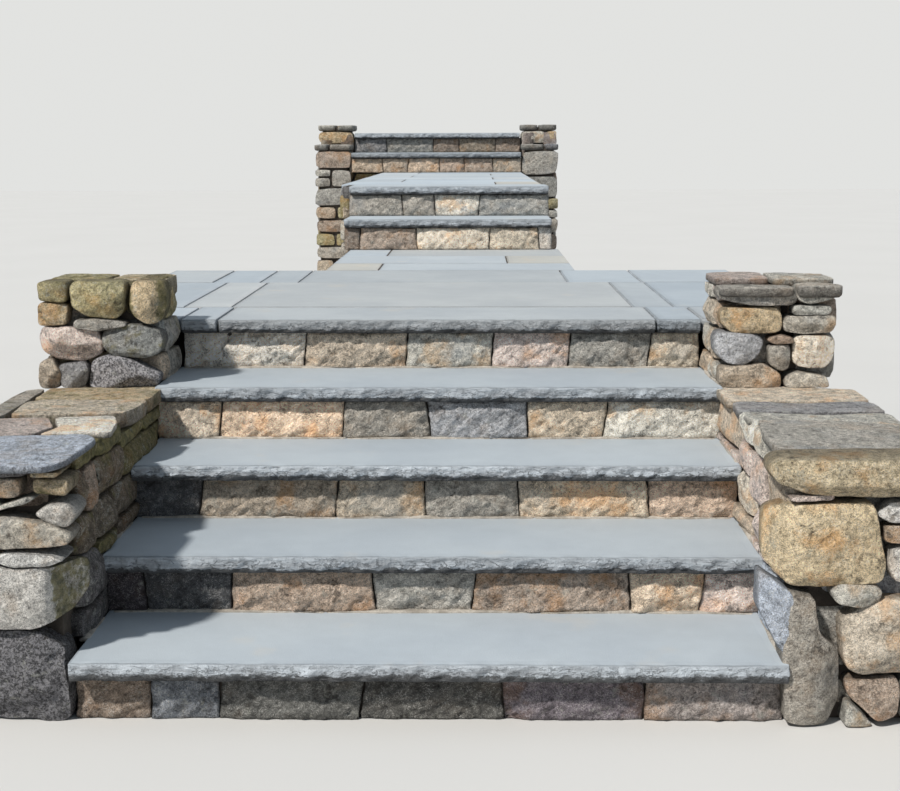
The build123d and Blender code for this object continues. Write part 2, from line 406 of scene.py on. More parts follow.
def material(name):
    """Makes each finish once, when a piece first asks for it."""
    if name not in MATERIALS:
        MATERIALS[name] = MATERIAL_MAKERS[name]()
    return MATERIALS[name]


# Geometry trees

def tree_input(tree, name, kind, default=None):
    socket = tree.interface.new_socket(name, in_out="INPUT", socket_type=kind)
    if default is not None:
        socket.default_value = default


def weathered(graph, geometry, given):
    """Subdivides stones, then wears their faces by lumps, by shell-like scoops and by grain."""
    smooth = graph.node(
        "GeometryNodeSubdivisionSurface", {}, {"Mesh": geometry, "Level": given["Level"]})
    place = graph.vector(
        "ADD", graph.node("GeometryNodeInputPosition"), graph.stored("seed", "FLOAT_VECTOR"))
    lumps = graph.noise(place, given["Lumps per metre"], 2.0, 0.5)
    warp = graph.scaled(graph.noise(place, given["Facets per metre"], 2.0, 0.5, "Color"), 0.35)
    stretched = graph.times(graph.bedded(place), (0.75, 1.0, 1.35))
    chipped = graph.vector("ADD", graph.scaled(stretched, given["Facets per metre"]), warp)
    small_scoop = graph.cells(graph.scaled(chipped, 2.3), 1.0, "Distance")
    scoop = graph.cells(chipped, 1.0, "Distance") + small_scoop * 0.4
    grain = graph.noise(place, given["Grains per metre"], 3.0, 0.65)
    height = (
        (lumps - 0.5) * given["Lump height"] * 2.0
        + (scoop - 0.7) * given["Facet height"]
        + (grain - 0.5) * given["Grain height"] * 2.0
        - given["Wear"])
    rough = graph.stored("rough", "FLOAT")
    offset = graph.scaled(graph.node("GeometryNodeInputNormal"), height * rough)
    return graph.node("GeometryNodeSetPosition", {}, {"Geometry": smooth, "Offset": offset})


def close_tree(graph, geometry, given):
    """Shades the stones smooth, realizes what is instanced and sets the material."""
    shaded = graph.node("GeometryNodeSetShadeSmooth", {}, {0: geometry})
    real = graph.node("GeometryNodeRealizeInstances", {}, {0: shaded})
    done = graph.node("GeometryNodeSetMaterial", {}, {"Geometry": real, "Material": given["Material"]})
    graph.tree.interface.new_socket("Geometry", in_out="OUTPUT", socket_type="NodeSocketGeometry")
    graph.node("NodeGroupOutput", {}, {0: done}, None)


WEATHER_INPUTS = {
    "Level": ("NodeSocketInt", 1),
    "Lumps per metre": ("NodeSocketFloat", 9.0),
    "Lump height": ("NodeSocketFloat", 0.008),
    "Facets per metre": ("NodeSocketFloat", 16.0),
    "Facet height": ("NodeSocketFloat", 0.006),
    "Grains per metre": ("NodeSocketFloat", 70.0),
    "Grain height": ("NodeSocketFloat", 0.0015),
    "Wear": ("NodeSocketFloat", 0.0),
    "Material": ("NodeSocketMaterial", None),
}


def new_tree(name, extra=None):
    """An empty geometry tree with the inputs that every stone tree shares."""
    tree = bpy.data.node_groups.new(name, "GeometryNodeTree")
    tree_input(tree, "Geometry", "NodeSocketGeometry")
    for label, (kind, default) in {**WEATHER_INPUTS, **(extra or {})}.items():
        tree_input(tree, label, kind, default)
    graph = Graph(tree)
    entry = tree.nodes.new("NodeGroupInput")
    given = {socket.name: Value(graph, socket) for socket in entry.outputs if socket.name}
    return tree, graph, given


def split_stone_tree():
    """Wears stones that are already modelled one by one."""
    tree, graph, given = new_tree("split_stone")
    close_tree(graph, weathered(graph, given["Geometry"], given), given)
    return tree


def coursed_stone_tree():
    """Stands a stone on each point of a wall face, sized and turned by the point, and wears it."""
    tree, graph, given = new_tree("coursed_stone", {"Stones": ("NodeSocketCollection", None)})
    stones = graph.node(
        "GeometryNodeCollectionInfo", {},
        {"Collection": given["Stones"], "Separate Children": True, "Reset Children": True})
    turn = graph.node("ShaderNodeCombineXYZ", {}, {"Z": graph.stored("turn", "FLOAT")})
    placed = graph.node(
        "GeometryNodeInstanceOnPoints", {},
        {
            "Points": given["Geometry"],
            "Instance": stones,
            "Pick Instance": True,
            "Instance Index": graph.stored("pick", "INT"),
            "Rotation": graph.node("FunctionNodeEulerToRotation", {}, {0: turn}),
            "Scale": graph.stored("size", "FLOAT_VECTOR"),
        })
    real = graph.node("GeometryNodeRealizeInstances", {}, {0: placed})
    close_tree(graph, weathered(graph, real, given), given)
    return tree


TREE_MAKERS = {"split_stone": split_stone_tree, "coursed_stone": coursed_stone_tree}
TREES = {}


def geometry_tree(name):
    """Makes each tree once, when a piece first asks for it."""
    if name not in TREES:
        TREES[name] = TREE_MAKERS[name]()
    return TREES[name]


def run_tree(source, name, inputs):
    """Runs a geometry tree over an object and returns the result as a plain mesh."""
    tree = geometry_tree(name)
    modifier = source.modifiers.new(name, "NODES")
    modifier.node_group = tree
    for item in tree.interface.items_tree:
        if item.in_out == "INPUT" and item.name in inputs:
            modifier[item.identifier] = inputs[item.name]
    bpy.context.view_layer.update()
    depsgraph = bpy.context.evaluated_depsgraph_get()
    mesh = bpy.data.meshes.new_from_object(
        source.evaluated_get(depsgraph), preserve_all_data_layers=True, depsgraph=depsgraph)
    source.modifiers.remove(modifier)
    return mesh


# Heaps of stones that become one mesh

# What is kept for each point of a stone
POINT_VALUES = {
    "rough": "FLOAT", "edge": "FLOAT", "moss": "FLOAT", "rust": "FLOAT", "tint": "FLOAT_COLOR",
    "seed": "FLOAT_VECTOR"}
VALUE_FIELDS = {"FLOAT": "value", "INT": "value", "FLOAT_COLOR": "color", "FLOAT_VECTOR": "vector"}
# How far the patterns of two stones may be moved apart
PATTERN_SHIFT = 40.0


def pattern_shift(rng):
    return [rng.uniform(-PATTERN_SHIFT, PATTERN_SHIFT) for _ in range(3)]


def store(mesh, label, kind, values):
    """Keeps a value for each point of a mesh."""
    attribute = mesh.attributes.new(label, kind, "POINT")
    attribute.data.foreach_set(VALUE_FIELDS[kind], np.asarray(values).ravel())


class Heap:
    """Gathers stones, with what the materials and the wear need to know about each point."""

    def __init__(self, seed):
        self.random = random.Random(seed)
        self.points = []
        self.faces = []
        self.kept = {label: [] for label in POINT_VALUES}
        self.count = 0

    def add(self, points, faces, rough, edge, tint, moss=0.0, rust=WARM_RUST):
        shift = pattern_shift(self.random)
        self.points.append(np.asarray(points, float))
        self.faces += [tuple(index + self.count for index in face) for face in faces]
        size = len(points)
        self.count += size
        for label, value in (("rough", rough), ("edge", edge), ("moss", moss), ("rust", rust)):
            self.kept[label].append(np.broadcast_to(value, size))
        for label, value in (("tint", rgba(tint)), ("seed", shift)):
            self.kept[label].append(np.tile(value, (size, 1)))

    def tone(self, name, light=1.0):
        """A named tone, a little lighter or darker from stone to stone, and scaled by light, which on the
        risers and the sunny cheek is partly painted light and shade.
        """
        factor = (1.0 + self.random.uniform(-TONE_SPREAD, TONE_SPREAD)) * light
        warm = self.random.uniform(-TONE_SPREAD, TONE_SPREAD) * WARM_SHARE
        red, green, blue = TONES[name]
        return (red * factor * (1 + warm), green * factor, blue * factor * (1 - warm))

    def mesh(self, name="stones"):
        made = bpy.data.meshes.new(name)
        made.from_pydata(np.concatenate(self.points).tolist(), [], self.faces)
        for label, kind in POINT_VALUES.items():
            store(made, label, kind, np.concatenate(self.kept[label]))
        return made


def soft_outline(corners, roundness, count, swell):
    """A closed outline with its corners cut round, as evenly spaced points."""
    line = np.asarray(corners, float)
    middle = line.mean(axis=0)
    spokes = line - middle
    line = line + spokes / np.linalg.norm(spokes, axis=1, keepdims=True) * swell
    for _ in range(2):
        after = np.roll(line, -1, axis=0)
        line = np.stack([
            line + (after - line) * roundness,
            line + (after - line) * (1.0 - roundness)], axis=1).reshape(-1, 2)
    closed = np.vstack([line, line[:1]])
    lengths = np.concatenate([[0.0], np.cumsum(np.linalg.norm(np.diff(closed, axis=0), axis=1))])
    places = np.linspace(0.0, lengths[-1], count, endpoint=False)
    return np.stack([np.interp(places, lengths, closed[:, axis]) for axis in (0, 1)], axis=1)


def ring_faces(rings, count):
    """Quads between rings of the same number of points."""
    faces = []
    for ring in range(rings - 1):
        for index in range(count):
            after = (index + 1) % count
            faces.append((
                ring * count + index, ring * count + after,
                (ring + 1) * count + after, (ring + 1) * count + index))
    return faces


class Side:
    """A flat face of the masonry: where its stones lie, and which way they look."""

    def __init__(self, origin, along, up, out):
        self.origin = np.array(origin, float)
        self.axes = np.array([along, up, out], float)

    def world(self, flat):
        return self.origin + flat @ self.axes


def front_side(y):
    return Side((0, y, 0), (1, 0, 0), (0, 0, 1), (0, -1, 0))


def right_facing(x):
    return Side((x, FRONT, 0), (0, 1, 0), (0, 0, 1), (1, 0, 0))


def left_facing(x):
    return Side((x, FRONT, 0), (0, -1, 0), (0, 0, 1), (-1, 0, 0))


def ground_side(z):
    return Side((0, FRONT, z), (1, 0, 0), (0, 1, 0), (0, 0, 1))


# Angle in radians that the flattest split leans
LEAST_LEAN = 0.12


def split_off(rng, points, cuts, lean, bite):
    """Lowers a stone's face to a few leaning planes, as if pieces were split off it."""
    whole = points.copy()
    for _ in range(cuts):
        turn = rng.uniform(0.0, 2 * math.pi)
        tilt = rng.uniform(LEAST_LEAN, lean)
        level = math.sin(tilt)
        plane = np.array([math.cos(turn) * level, math.sin(turn) * level, math.cos(tilt)])
        limit = (whole @ plane).max() - bite * rng.uniform(0.4, 1.1)
        highest = (limit - whole[:, :2] @ plane[:2]) / plane[2]
        points[:, 2] = np.minimum(points[:, 2], highest)


# Angles of the rings that round a stone's arris
ARRIS_ANGLES = (0.0, math.pi / 5, math.pi / 2)
BURIED_RINGS = 2
# How much of the whole wear the buried part and the arris of a stone take
BURIED_WEAR = 0.3
ARRIS_WEAR = 0.7
# The least share of its width that a stone keeps where its arris is rounded
LEAST_WIDTH = 0.35
# How near the joint the first ring of the arris counts, and how much less each further ring; the fieldstone
# darkens by this as painted shade in the joint, and side moss grows where it is high
ARRIS_EDGE = 0.9
ARRIS_EDGE_STEP = 0.35
# The share of its depth that a bevel may take from a stone at most
DEEPEST_BEVEL = 0.9
# How far a bevel has fallen, and how near the rim a point lies, where side moss is full
MOSSY_FALL = 0.02
MOSSY_EDGE = 0.8


def add_stone(heap, side, corners, depth, tone, arris, bulge, roundness, count, shares, moss=0.0, back=0.0,
              swell=0.0, rough=1.0, cuts=7, lean=0.75, bevels=(), side_moss=0.0, light=1.0):
    """One stone: a softened outline, rounded over its arrises into a bulging face.

    corners are in millimetres on the side; depth, arris, bulge, back and swell are in millimetres.
    count is the number of points round the stone, and shares are the widths of the rings of its face.
    A bevel is (direction in degrees, distance from the middle in millimetres, slope).
    """
    outline = soft_outline(np.asarray(corners, float) * MM, roundness, count, swell * MM)
    after = np.roll(outline, -1, axis=0)
    if np.sum(outline[:, 0] * after[:, 1] - after[:, 0] * outline[:, 1]) < 0:
        outline = outline[::-1]
    middle = outline.mean(axis=0)
    spokes = outline - middle
    reach = np.linalg.norm(spokes, axis=1, keepdims=True)
    rings = [(0.0, -depth), (0.0, -depth / 2)]
    rings += [(arris * (1 - math.cos(angle)), -arris * (1 - math.sin(angle))) for angle in ARRIS_ANGLES]
    points = []
    wear = []
    edge = []
    for level, (inset, height) in enumerate(rings):
        share = np.maximum(1.0 - inset * MM / reach, LEAST_WIDTH)
        points.append(np.hstack([middle + spokes * share, np.full((count, 1), height * MM)]))
        buried = level < BURIED_RINGS
        wear += [BURIED_WEAR if buried else ARRIS_WEAR] * count
        edge += [1.0 if buried else ARRIS_EDGE - ARRIS_EDGE_STEP * (level - 1)] * count
    last = np.maximum(1.0 - arris * MM / reach, LEAST_WIDTH)
    for share in shares:
        rise = bulge * MM * (1.0 - share * share)
        points.append(np.hstack([middle + spokes * last * share, np.full((count, 1), rise)]))
        wear += [1.0] * count
        edge += [0.0] * count
    flat = np.vstack(points)
    total = len(rings) + len(shares)
    faces = ring_faces(total, count)
    flat = np.vstack([flat, [[*middle, bulge * MM], [*middle, -depth * MM]]])
    wear += [1.0, BURIED_WEAR]
    edge += [0.0, 1.0]
    top = total * count
    for index in range(count):
        after = (index + 1) % count
        faces.append(((total - 1) * count + index, (total - 1) * count + after, top))
        faces.append((after, index, top + 1))
    split_off(heap.random, flat, cuts, lean, bulge * MM)
    fallen = np.zeros(len(flat))
    for turn, start, slope in bevels:
        way = np.array([math.cos(math.radians(turn)), math.sin(math.radians(turn))])
        fallen += slope * np.maximum(0.0, (flat[:, :2] - middle) @ way - start * MM)
    share = np.clip(flat[:, 2] / (depth * MM) + 1.0, 0.0, 1.0)
    flat[:, 2] -= np.minimum(fallen, depth * MM * DEEPEST_BEVEL) * share
    flat[:, 2] -= back * MM
    slope_moss = np.maximum(np.clip(fallen / MOSSY_FALL, 0.0, 1.0), np.array(edge) > MOSSY_EDGE)
    growth = np.clip(moss + side_moss * slope_moss, 0.0, 1.0)
    tint = heap.tone(tone, light)
    heap.add(side.world(flat), faces, np.array(wear) * rough, edge, tint, growth, rust_of(tone))


# Squared blocks in millimetres: depth, bulge of the face, and depth of the rim
BLOCK_DEPTH = 95.0
BLOCK_BULGE = 12.0
BLOCK_RIM = 8.0
# Over what distance the face swells from the rim, and how it is split
RIM_FALL = 0.012
BLOCK_CUTS = 10
BLOCK_LEAN = 0.35
LEAST_CELLS = 4
# The face is worn less within this distance of the rim, and the ring behind the rim less again
SPARED_RIM = 0.003
SPARED_WEAR = 0.5
RIM_WEAR = 0.4
# Up to what distance from the rim the painted shade of the joint reaches, and how strong it is there
RIM_SHADE_REACH = 0.006
RIM_SHADE = 0.5


def add_block(heap, side, corners, tone, spacing, back, light):
    """One squared block with a pitched face: evenly spaced points, thrown back round the rim."""
    left_foot, right_foot, right_head, left_head = (np.array(corner, float) * MM for corner in corners)
    wide = np.linalg.norm(right_foot - left_foot)
    tall = np.linalg.norm(left_head - left_foot)
    columns = max(LEAST_CELLS, round(wide / spacing))
    rows = max(LEAST_CELLS, round(tall / spacing))
    across, up = np.meshgrid(np.linspace(0, 1, columns + 1), np.linspace(0, 1, rows + 1))
    across, up = across.ravel()[:, None], up.ravel()[:, None]
    foot = left_foot + (right_foot - left_foot) * across
    head = left_head + (right_head - left_head) * across
    spots = foot + (head - foot) * up
    rim = np.minimum(np.minimum(across, 1 - across) * wide, np.minimum(up, 1 - up) * tall)[:, 0]
    face = np.hstack([spots, (BLOCK_BULGE * MM * (1.0 - np.exp(-rim / RIM_FALL)))[:, None]])
    split_off(heap.random, face, BLOCK_CUTS, BLOCK_LEAN, BLOCK_BULGE * MM)

    def index(row, column):
        return row * (columns + 1) + column

    border = [index(0, column) for column in range(columns)]
    border += [index(row, columns) for row in range(rows)]
    border += [index(rows, column) for column in range(columns, 0, -1)]
    border += [index(row, 0) for row in range(rows, 0, -1)]
    count = len(border)
    total = len(face)
    rings = [
        np.hstack([face[border, :2], np.full((count, 1), -reach * MM)])
        for reach in (BLOCK_RIM, BLOCK_DEPTH)]
    faces = [
        (index(row, column), index(row, column + 1), index(row + 1, column + 1), index(row + 1, column))
        for row in range(rows) for column in range(columns)]
    for step in range(count):
        after = (step + 1) % count
        faces.append((total + step, total + after, border[after], border[step]))
        faces.append((total + count + step, total + count + after, total + after, total + step))
    faces.append(tuple(total + count + step for step in reversed(range(count))))
    points = np.vstack([face, *rings])
    points[:, 2] -= back * MM
    face_wear = np.where(rim < SPARED_RIM, SPARED_WEAR, 1.0)
    # The face darkens towards its rim as painted shade of the joint
    face_joint_shade = np.clip(1.0 - rim / RIM_SHADE_REACH, 0.0, 1.0) * RIM_SHADE
    wear = np.concatenate([face_wear, np.full(count, RIM_WEAR), np.full(count, 0.0)])
    edge = np.concatenate([face_joint_shade, np.full(2 * count, 1.0)])
    heap.add(side.world(points), faces, wear, edge, heap.tone(tone, light), 0.0, rust_of(tone))


# Rows of points up a slab's edge, then round its rim: inset in millimetres and share of the wear
SLAB_ROWS = (0.0, 0.08, 0.18, 0.29, 0.40, 0.51, 0.62, 0.73, 0.84, 0.94)
SLAB_RIM = ((1.5, 0.35), (6.0, 0.12), (30.0, 0.0))
# How far the split face is hollowed at its foot, up to which share of its height, and how far it is thrown
# back at its head
SLAB_HOLLOW = 0.010
HOLLOW_SHARE = 0.35
SLAB_THROW = 0.002
# How much of the wear the foot takes, and how much the head loses of the wear and of the split tone; the
# head's loss of split tone blends it toward the lighter top as painted light
FOOT_WEAR = 0.35
HEAD_WEAR_LOSS = 0.55
HEAD_PAINTED_LIGHT = 0.45
# The least spacing of the points along the ends and the back
END_SPACING = 0.012
BACK_SPACING = 0.03
# How coarse the split stays round a corner
CORNER_SHARE = 0.9
# How coarsely the sides that nobody sees are split
HIDDEN_SPLIT = 0.05


def add_slab(heap, low, high, spacing, front, ends, tone, edge_light, foot=0.45):
    """A flat slab with a smooth top, and a front and ends split to a bulging rock face.

    spacing is how close the points of the front lie; front and ends say how coarsely each is split;
    edge_light is how light the split edge is; foot is the share of the edge, from its foot up, that painted
    shade darkens. They are kept where other stones keep their rust and their moss.
    """
    wide, deep, thick = (high[axis] - low[axis] for axis in range(3))
    line = []
    end_spacing = max(spacing, END_SPACING)
    sides = [
        ((0, 0), (1, 0), wide, spacing), ((1, 0), (1, 1), deep, end_spacing),
        ((1, 1), (0, 1), wide, max(spacing * 3, BACK_SPACING)), ((0, 1), (0, 0), deep, end_spacing)]
    coarse = []
    for (x_from, y_from), (x_to, y_to), length, gap in sides:
        steps = max(2, round(length / gap))
        for step in range(steps):
            share = step / steps
            line.append((x_from + (x_to - x_from) * share, y_from + (y_to - y_from) * share))
            coarse.append(front if y_from == y_to == 0 else ends if x_from == x_to else HIDDEN_SPLIT)
    line = np.array(line)
    coarse = np.maximum(np.array(coarse), HIDDEN_SPLIT)
    coarse = np.maximum(coarse, np.roll(coarse, 1) * CORNER_SHARE)
    count = len(line)

    def ring(front_inset, end_inset, back_inset, level):
        x = low[0] + end_inset + line[:, 0] * (wide - 2 * end_inset)
        y = low[1] + front_inset + line[:, 1] * (deep - front_inset - back_inset)
        return np.stack([x, y, np.full(count, low[2] + thick * level)], axis=1)

    points = []
    wear = []
    edge = []
    painted_foot_shade = []
    for level in SLAB_ROWS:
        inset = SLAB_HOLLOW * max(0.0, 1.0 - level / HOLLOW_SHARE) ** 1.5 + SLAB_THROW * level ** 6
        points.append(ring(inset * front, inset * ends, 0.0, level))
        wear.append(coarse * (FOOT_WEAR if level == 0.0 else 1.0 - HEAD_WEAR_LOSS * level ** 3))
        edge.append(np.full(count, 1.0 - HEAD_PAINTED_LIGHT * level ** 2))
        # Painted shade of the undercut foot, strongest at the bottom row and gone at the share foot of the
        # edge
        painted_foot_shade.append(np.full(count, max(0.0, 1.0 - level / foot)))
    for inset, share in SLAB_RIM:
        points.append(ring(
            inset * MM + SLAB_THROW * front, inset * MM + SLAB_THROW * ends, inset * MM, 1.0))
        wear.append(coarse * share)
        edge.append(np.full(count, share))
        painted_foot_shade.append(np.zeros(count))
    total = len(SLAB_ROWS) + len(SLAB_RIM)
    faces = ring_faces(total, count)
    faces.append(tuple((total - 1) * count + index for index in range(count)))
    faces.append(tuple(reversed(range(count))))
    heap.add(
        np.vstack(points), faces, np.concatenate(wear), np.concatenate(edge), tone, np.concatenate(painted_foot_shade),
        edge_light)


# Finishing a piece

def add_object(name, data):
    made = bpy.data.objects.new(name, data)
    bpy.context.scene.collection.objects.link(made)
    return made


def add_piece(name, mesh, nodes):
    """Puts a finished mesh in the scene, riding on the steps in place of its plain nodes."""
    piece = add_object(name, mesh)
    mesh.name = name
    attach(piece, BODY)
    if nodes:
        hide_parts(*nodes)


def dress(name, mesh, wear, finish, nodes, slot, tree="split_stone", **extra):
    """Wears the stones of a mesh with a geometry tree and adds them as one piece within the CAD's box."""
    source = add_object(name + "_source", mesh)
    mesh = run_tree(source, tree, {**wear, **extra, "Material": material(finish)})
    bpy.data.objects.remove(source)
    places = np.empty(len(mesh.vertices) * 3)
    mesh.vertices.foreach_get("co", places)
    inside = np.clip(places.reshape(-1, 3), np.array(CAD_BOUNDS[0]), np.array(CAD_BOUNDS[1]))
    mesh.vertices.foreach_set("co", inside.ravel())
    add_piece(name, mesh, nodes)


def plain_box(low, high):
    """Corners and faces of a box."""
    points = [(x, y, z) for x in (low[0], high[0]) for y in (low[1], high[1]) for z in (low[2], high[2])]
    faces = [(0, 1, 3, 2), (4, 6, 7, 5), (0, 4, 5, 1), (2, 3, 7, 6), (0, 2, 6, 4), (1, 5, 7, 3)]
    return points, faces


CORE_SEED = 7
CORE_TINT = (0.1, 0.1, 0.1)


def core_piece(name, boxes):
    """The rubble and mortar behind the stones, seen only in the depth of the joints."""
    heap = Heap(CORE_SEED)
    for low, high in boxes:
        points, faces = plain_box(low, high)
        heap.add(points, faces, 0.0, 1.0, CORE_TINT)
    mesh = heap.mesh(name)
    mesh.materials.append(material("mortar"))
    add_piece(name, mesh, ())


# How each kind of stone is worn

SLAB_WEAR = {
    "Level": 0, "Lumps per metre": 8.0, "Lump height": 0.003, "Facets per metre": 19.0,
    "Facet height": 0.014, "Grains per metre": 90.0, "Grain height": 0.0025, "Wear": 0.005}
FLAG_WEAR = {**SLAB_WEAR, "Facet height": 0.002, "Lump height": 0.001, "Wear": 0.001}
BLOCK_WEAR = {
    "Level": 0, "Lumps per metre": 9.0, "Lump height": 0.005, "Facets per metre": 21.0,
    "Facet height": 0.013, "Grains per metre": 75.0, "Grain height": 0.005, "Wear": 0.0}
POINTING_WEAR = {**BLOCK_WEAR, "Facet height": 0.006}
BOULDER_WEAR = {
    "Level": 1, "Lumps per metre": 6.0, "Lump height": 0.007, "Facets per metre": 9.0,
    "Facet height": 0.009, "Grains per metre": 55.0, "Grain height": 0.0035, "Wear": 0.001}
COURSE_WEAR = {
    **BOULDER_WEAR, "Level": 0, "Lump height": 0.008, "Facet height": 0.010, "Grains per metre": 40.0,
    "Grain height": 0.003}
CAP_WEAR = {
    "Level": 1, "Lumps per metre": 5.0, "Lump height": 0.004, "Facets per metre": 6.0,
    "Facet height": 0.006, "Grains per metre": 50.0, "Grain height": 0.003, "Wear": 0.002}


# Treads and paving

# Spacing of the points along a front, and how coarsely the ends are split
BETWEEN_WALLS = (0.006, 0.15)
FREE_ENDS = (0.010, 0.8)
# How each slab's ends are, how light its top and its split edge are, and how far painted shade climbs the
# edge from its foot
TREADS = {
    "tread_1": (BETWEEN_WALLS, 1.08, 1.05, 0.65),
    "tread_2": (BETWEEN_WALLS, 1.0, 1.0, 0.45),
    "tread_3": (BETWEEN_WALLS, 1.02, 1.2, 0.60),
    "tread_4": (BETWEEN_WALLS, 1.0, 1.0, 0.45),
    "tread_6": (FREE_ENDS, 1.08, 0.82, 0.40),
    "tread_7": (FREE_ENDS, 1.08, 0.82, 0.40),
    "tread_8": (FREE_ENDS, 1.05, 0.70, 0.40),
    "tread_9": (FREE_ENDS, 1.05, 0.95, 0.40),
}


def lay_tread(node, fineness, top_light, edge_light, foot, seed):
    heap = Heap(seed)
    low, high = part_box(node)
    spacing, ends = fineness
    add_slab(heap, low, high, spacing, 1.0, ends, (top_light,) * 3, edge_light, foot)
    dress(node + "_slab", heap.mesh(), SLAB_WEAR, "bluestone", [node], "bluestone")


def node_islands(node):
    """Low and high corners of each separate solid in a node."""
    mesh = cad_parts[node].data
    places = np.array([tuple(vertex.co) for vertex in mesh.vertices])
    keys = {}
    owner = list(range(len(places)))

    def root(index):
        while owner[index] != index:
            owner[index] = owner[owner[index]]
            index = owner[index]
        return index

    for index, place in enumerate(places):
        key = tuple(np.round(place, 5))
        if key in keys:
            owner[root(index)] = root(keys[key])
        keys[key] = index
    for polygon in mesh.polygons:
        first = polygon.vertices[0]
        for other in polygon.vertices[1:]:
            owner[root(other)] = root(first)
    groups = {}
    for index in range(len(places)):
        groups.setdefault(root(index), []).append(index)
    islands = [(places[group].min(axis=0), places[group].max(axis=0)) for group in groups.values()]
    return sorted(islands, key=lambda island: (round(island[0][1], 3), island[0][0]))


# Flags of a warmer stone, counted from the front left
BEIGE_FLAGS = {"path_flags": (0, 3), "upper_landing_flags": (1,)}
BEIGE = (1.17, 1.05, 0.91)
# How light the flags are where they differ from the landing's
FLAG_LIGHT = {"path_flags": 1.07, "upper_landing_flags": 1.12}
FLAG_EDGE_LIGHT = 0.74
FLAG_SPREAD = 0.07
FLAG_WARMTH = (-0.02, 0.06)
# How much a flag may lie lower than the highest
FLAG_SINK = 0.0015
# Spacing of the points along a front, and how coarsely it is split
PITCHED_FRONT = (0.006, 1.0)
PLAIN_FRONT = (0.04, 0.2)
FLAG_ENDS = 0.2


def lay_flags(name, nodes, seed, front_rough=False):
    heap = Heap(seed)
    spacing, coarse = PITCHED_FRONT if front_rough else PLAIN_FRONT
    edge_light = FLAG_EDGE_LIGHT if front_rough else 1.0
    for node in nodes:
        for number, (low, high) in enumerate(node_islands(node)):
            shade = (1.0 + heap.random.uniform(-FLAG_SPREAD, FLAG_SPREAD)) * FLAG_LIGHT.get(node, 1.0)
            warm = heap.random.uniform(*FLAG_WARMTH)
            high = (high[0], high[1], high[2] - heap.random.uniform(0.0, FLAG_SINK))
            tone = (shade * (1 + warm), shade, shade * (1 - warm))
            if number in BEIGE_FLAGS.get(node, ()):
                tone = BEIGE
            add_slab(heap, low, high, spacing, coarse, FLAG_ENDS, tone, edge_light)
    wear = SLAB_WEAR if front_rough else FLAG_WEAR
    dress(name, heap.mesh(), wear, "bluestone", nodes, "bluestone")


# Risers

# How far each riser's face lies behind its line, in millimetres
RECESS = {1: 44, 2: 24, 3: 30, 4: 10, 5: 18, 6: 2, 7: 5, 8: 14, 9: 26}
# The blocks of each riser from the left: their tone, and how light they are against it. The lightness is
# partly the stones' own and partly painted: the low factors paint the shade of the nosings and walls, the
# high ones paint sunlight.
RISER_BLOCKS = {
    1: [("brown", 0.88), ("blue", 0.60), ("green", 0.56), ("grey", 0.28), ("purple", 0.94),
        ("pink", 0.82)],
    2: [("purple", 0.38), ("slate", 0.38), ("brown", 1.45), ("grey", 1.35), ("brown", 1.22),
        ("tan", 1.50), ("pink", 1.55)],
    3: [("slate", 0.45), ("tan", 0.85), ("gold", 1.18), ("grey", 0.98), ("gold", 1.50), ("brown", 1.75)],
    4: [("tan", 1.60), ("orange", 1.50), ("grey", 0.95), ("slate", 1.52), ("gold", 1.45), ("pale", 1.65)],
    5: [("grey", 2.05), ("tan", 1.40), ("pale", 1.14), ("pink", 1.32), ("grey", 0.94), ("gold", 1.42)],
    6: [("brown", 0.76), ("brown", 1.22), ("cream", 1.45), ("gold", 1.42), ("white", 1.20)],
    7: [("grey", 1.05), ("grey", 1.00), ("bone", 1.18), ("grey", 0.99)],
    8: [("tan", 1.00), ("orange", 0.80), ("orange", 0.93), ("brown", 1.30), ("brown", 1.15),
        ("tan", 0.90)],
    9: [("slate", 0.78), ("grey", 0.78), ("brown", 0.78), ("tan", 0.55), ("brown", 0.78)],
}
# Risers that stand between the upper cheeks
BETWEEN_CHEEKS = (8, 9)
# The risers from here on lie far from the camera, so their points lie farther apart
FIRST_FAR_STEP = 6
NEAR_SPACING = 0.0055
FAR_SPACING = 0.009
# In millimetres: how far the blocks lie back and how much that differs, how far a joint may lean, how far
# the corners of a block's head may hang, and how much a block is wider and shorter than its solid
BLOCK_SETBACK = 6.0
SETBACK_SPREAD = (-2, 3)
JOINT_LEAN = 9.0
HEAD_DROP = (0, 4)
BLOCK_FIT = 1
RISER_SEED = 100
# How far the joints' mortar lies behind the blocks, and how it meets the cheeks or keeps from the ends
JOINT_DEPTH = 0.022
CHEEK_REACH = 0.020
OPEN_INSET = 0.004
# How far a bed reaches into the slab on it
CORE_BITE = 0.003


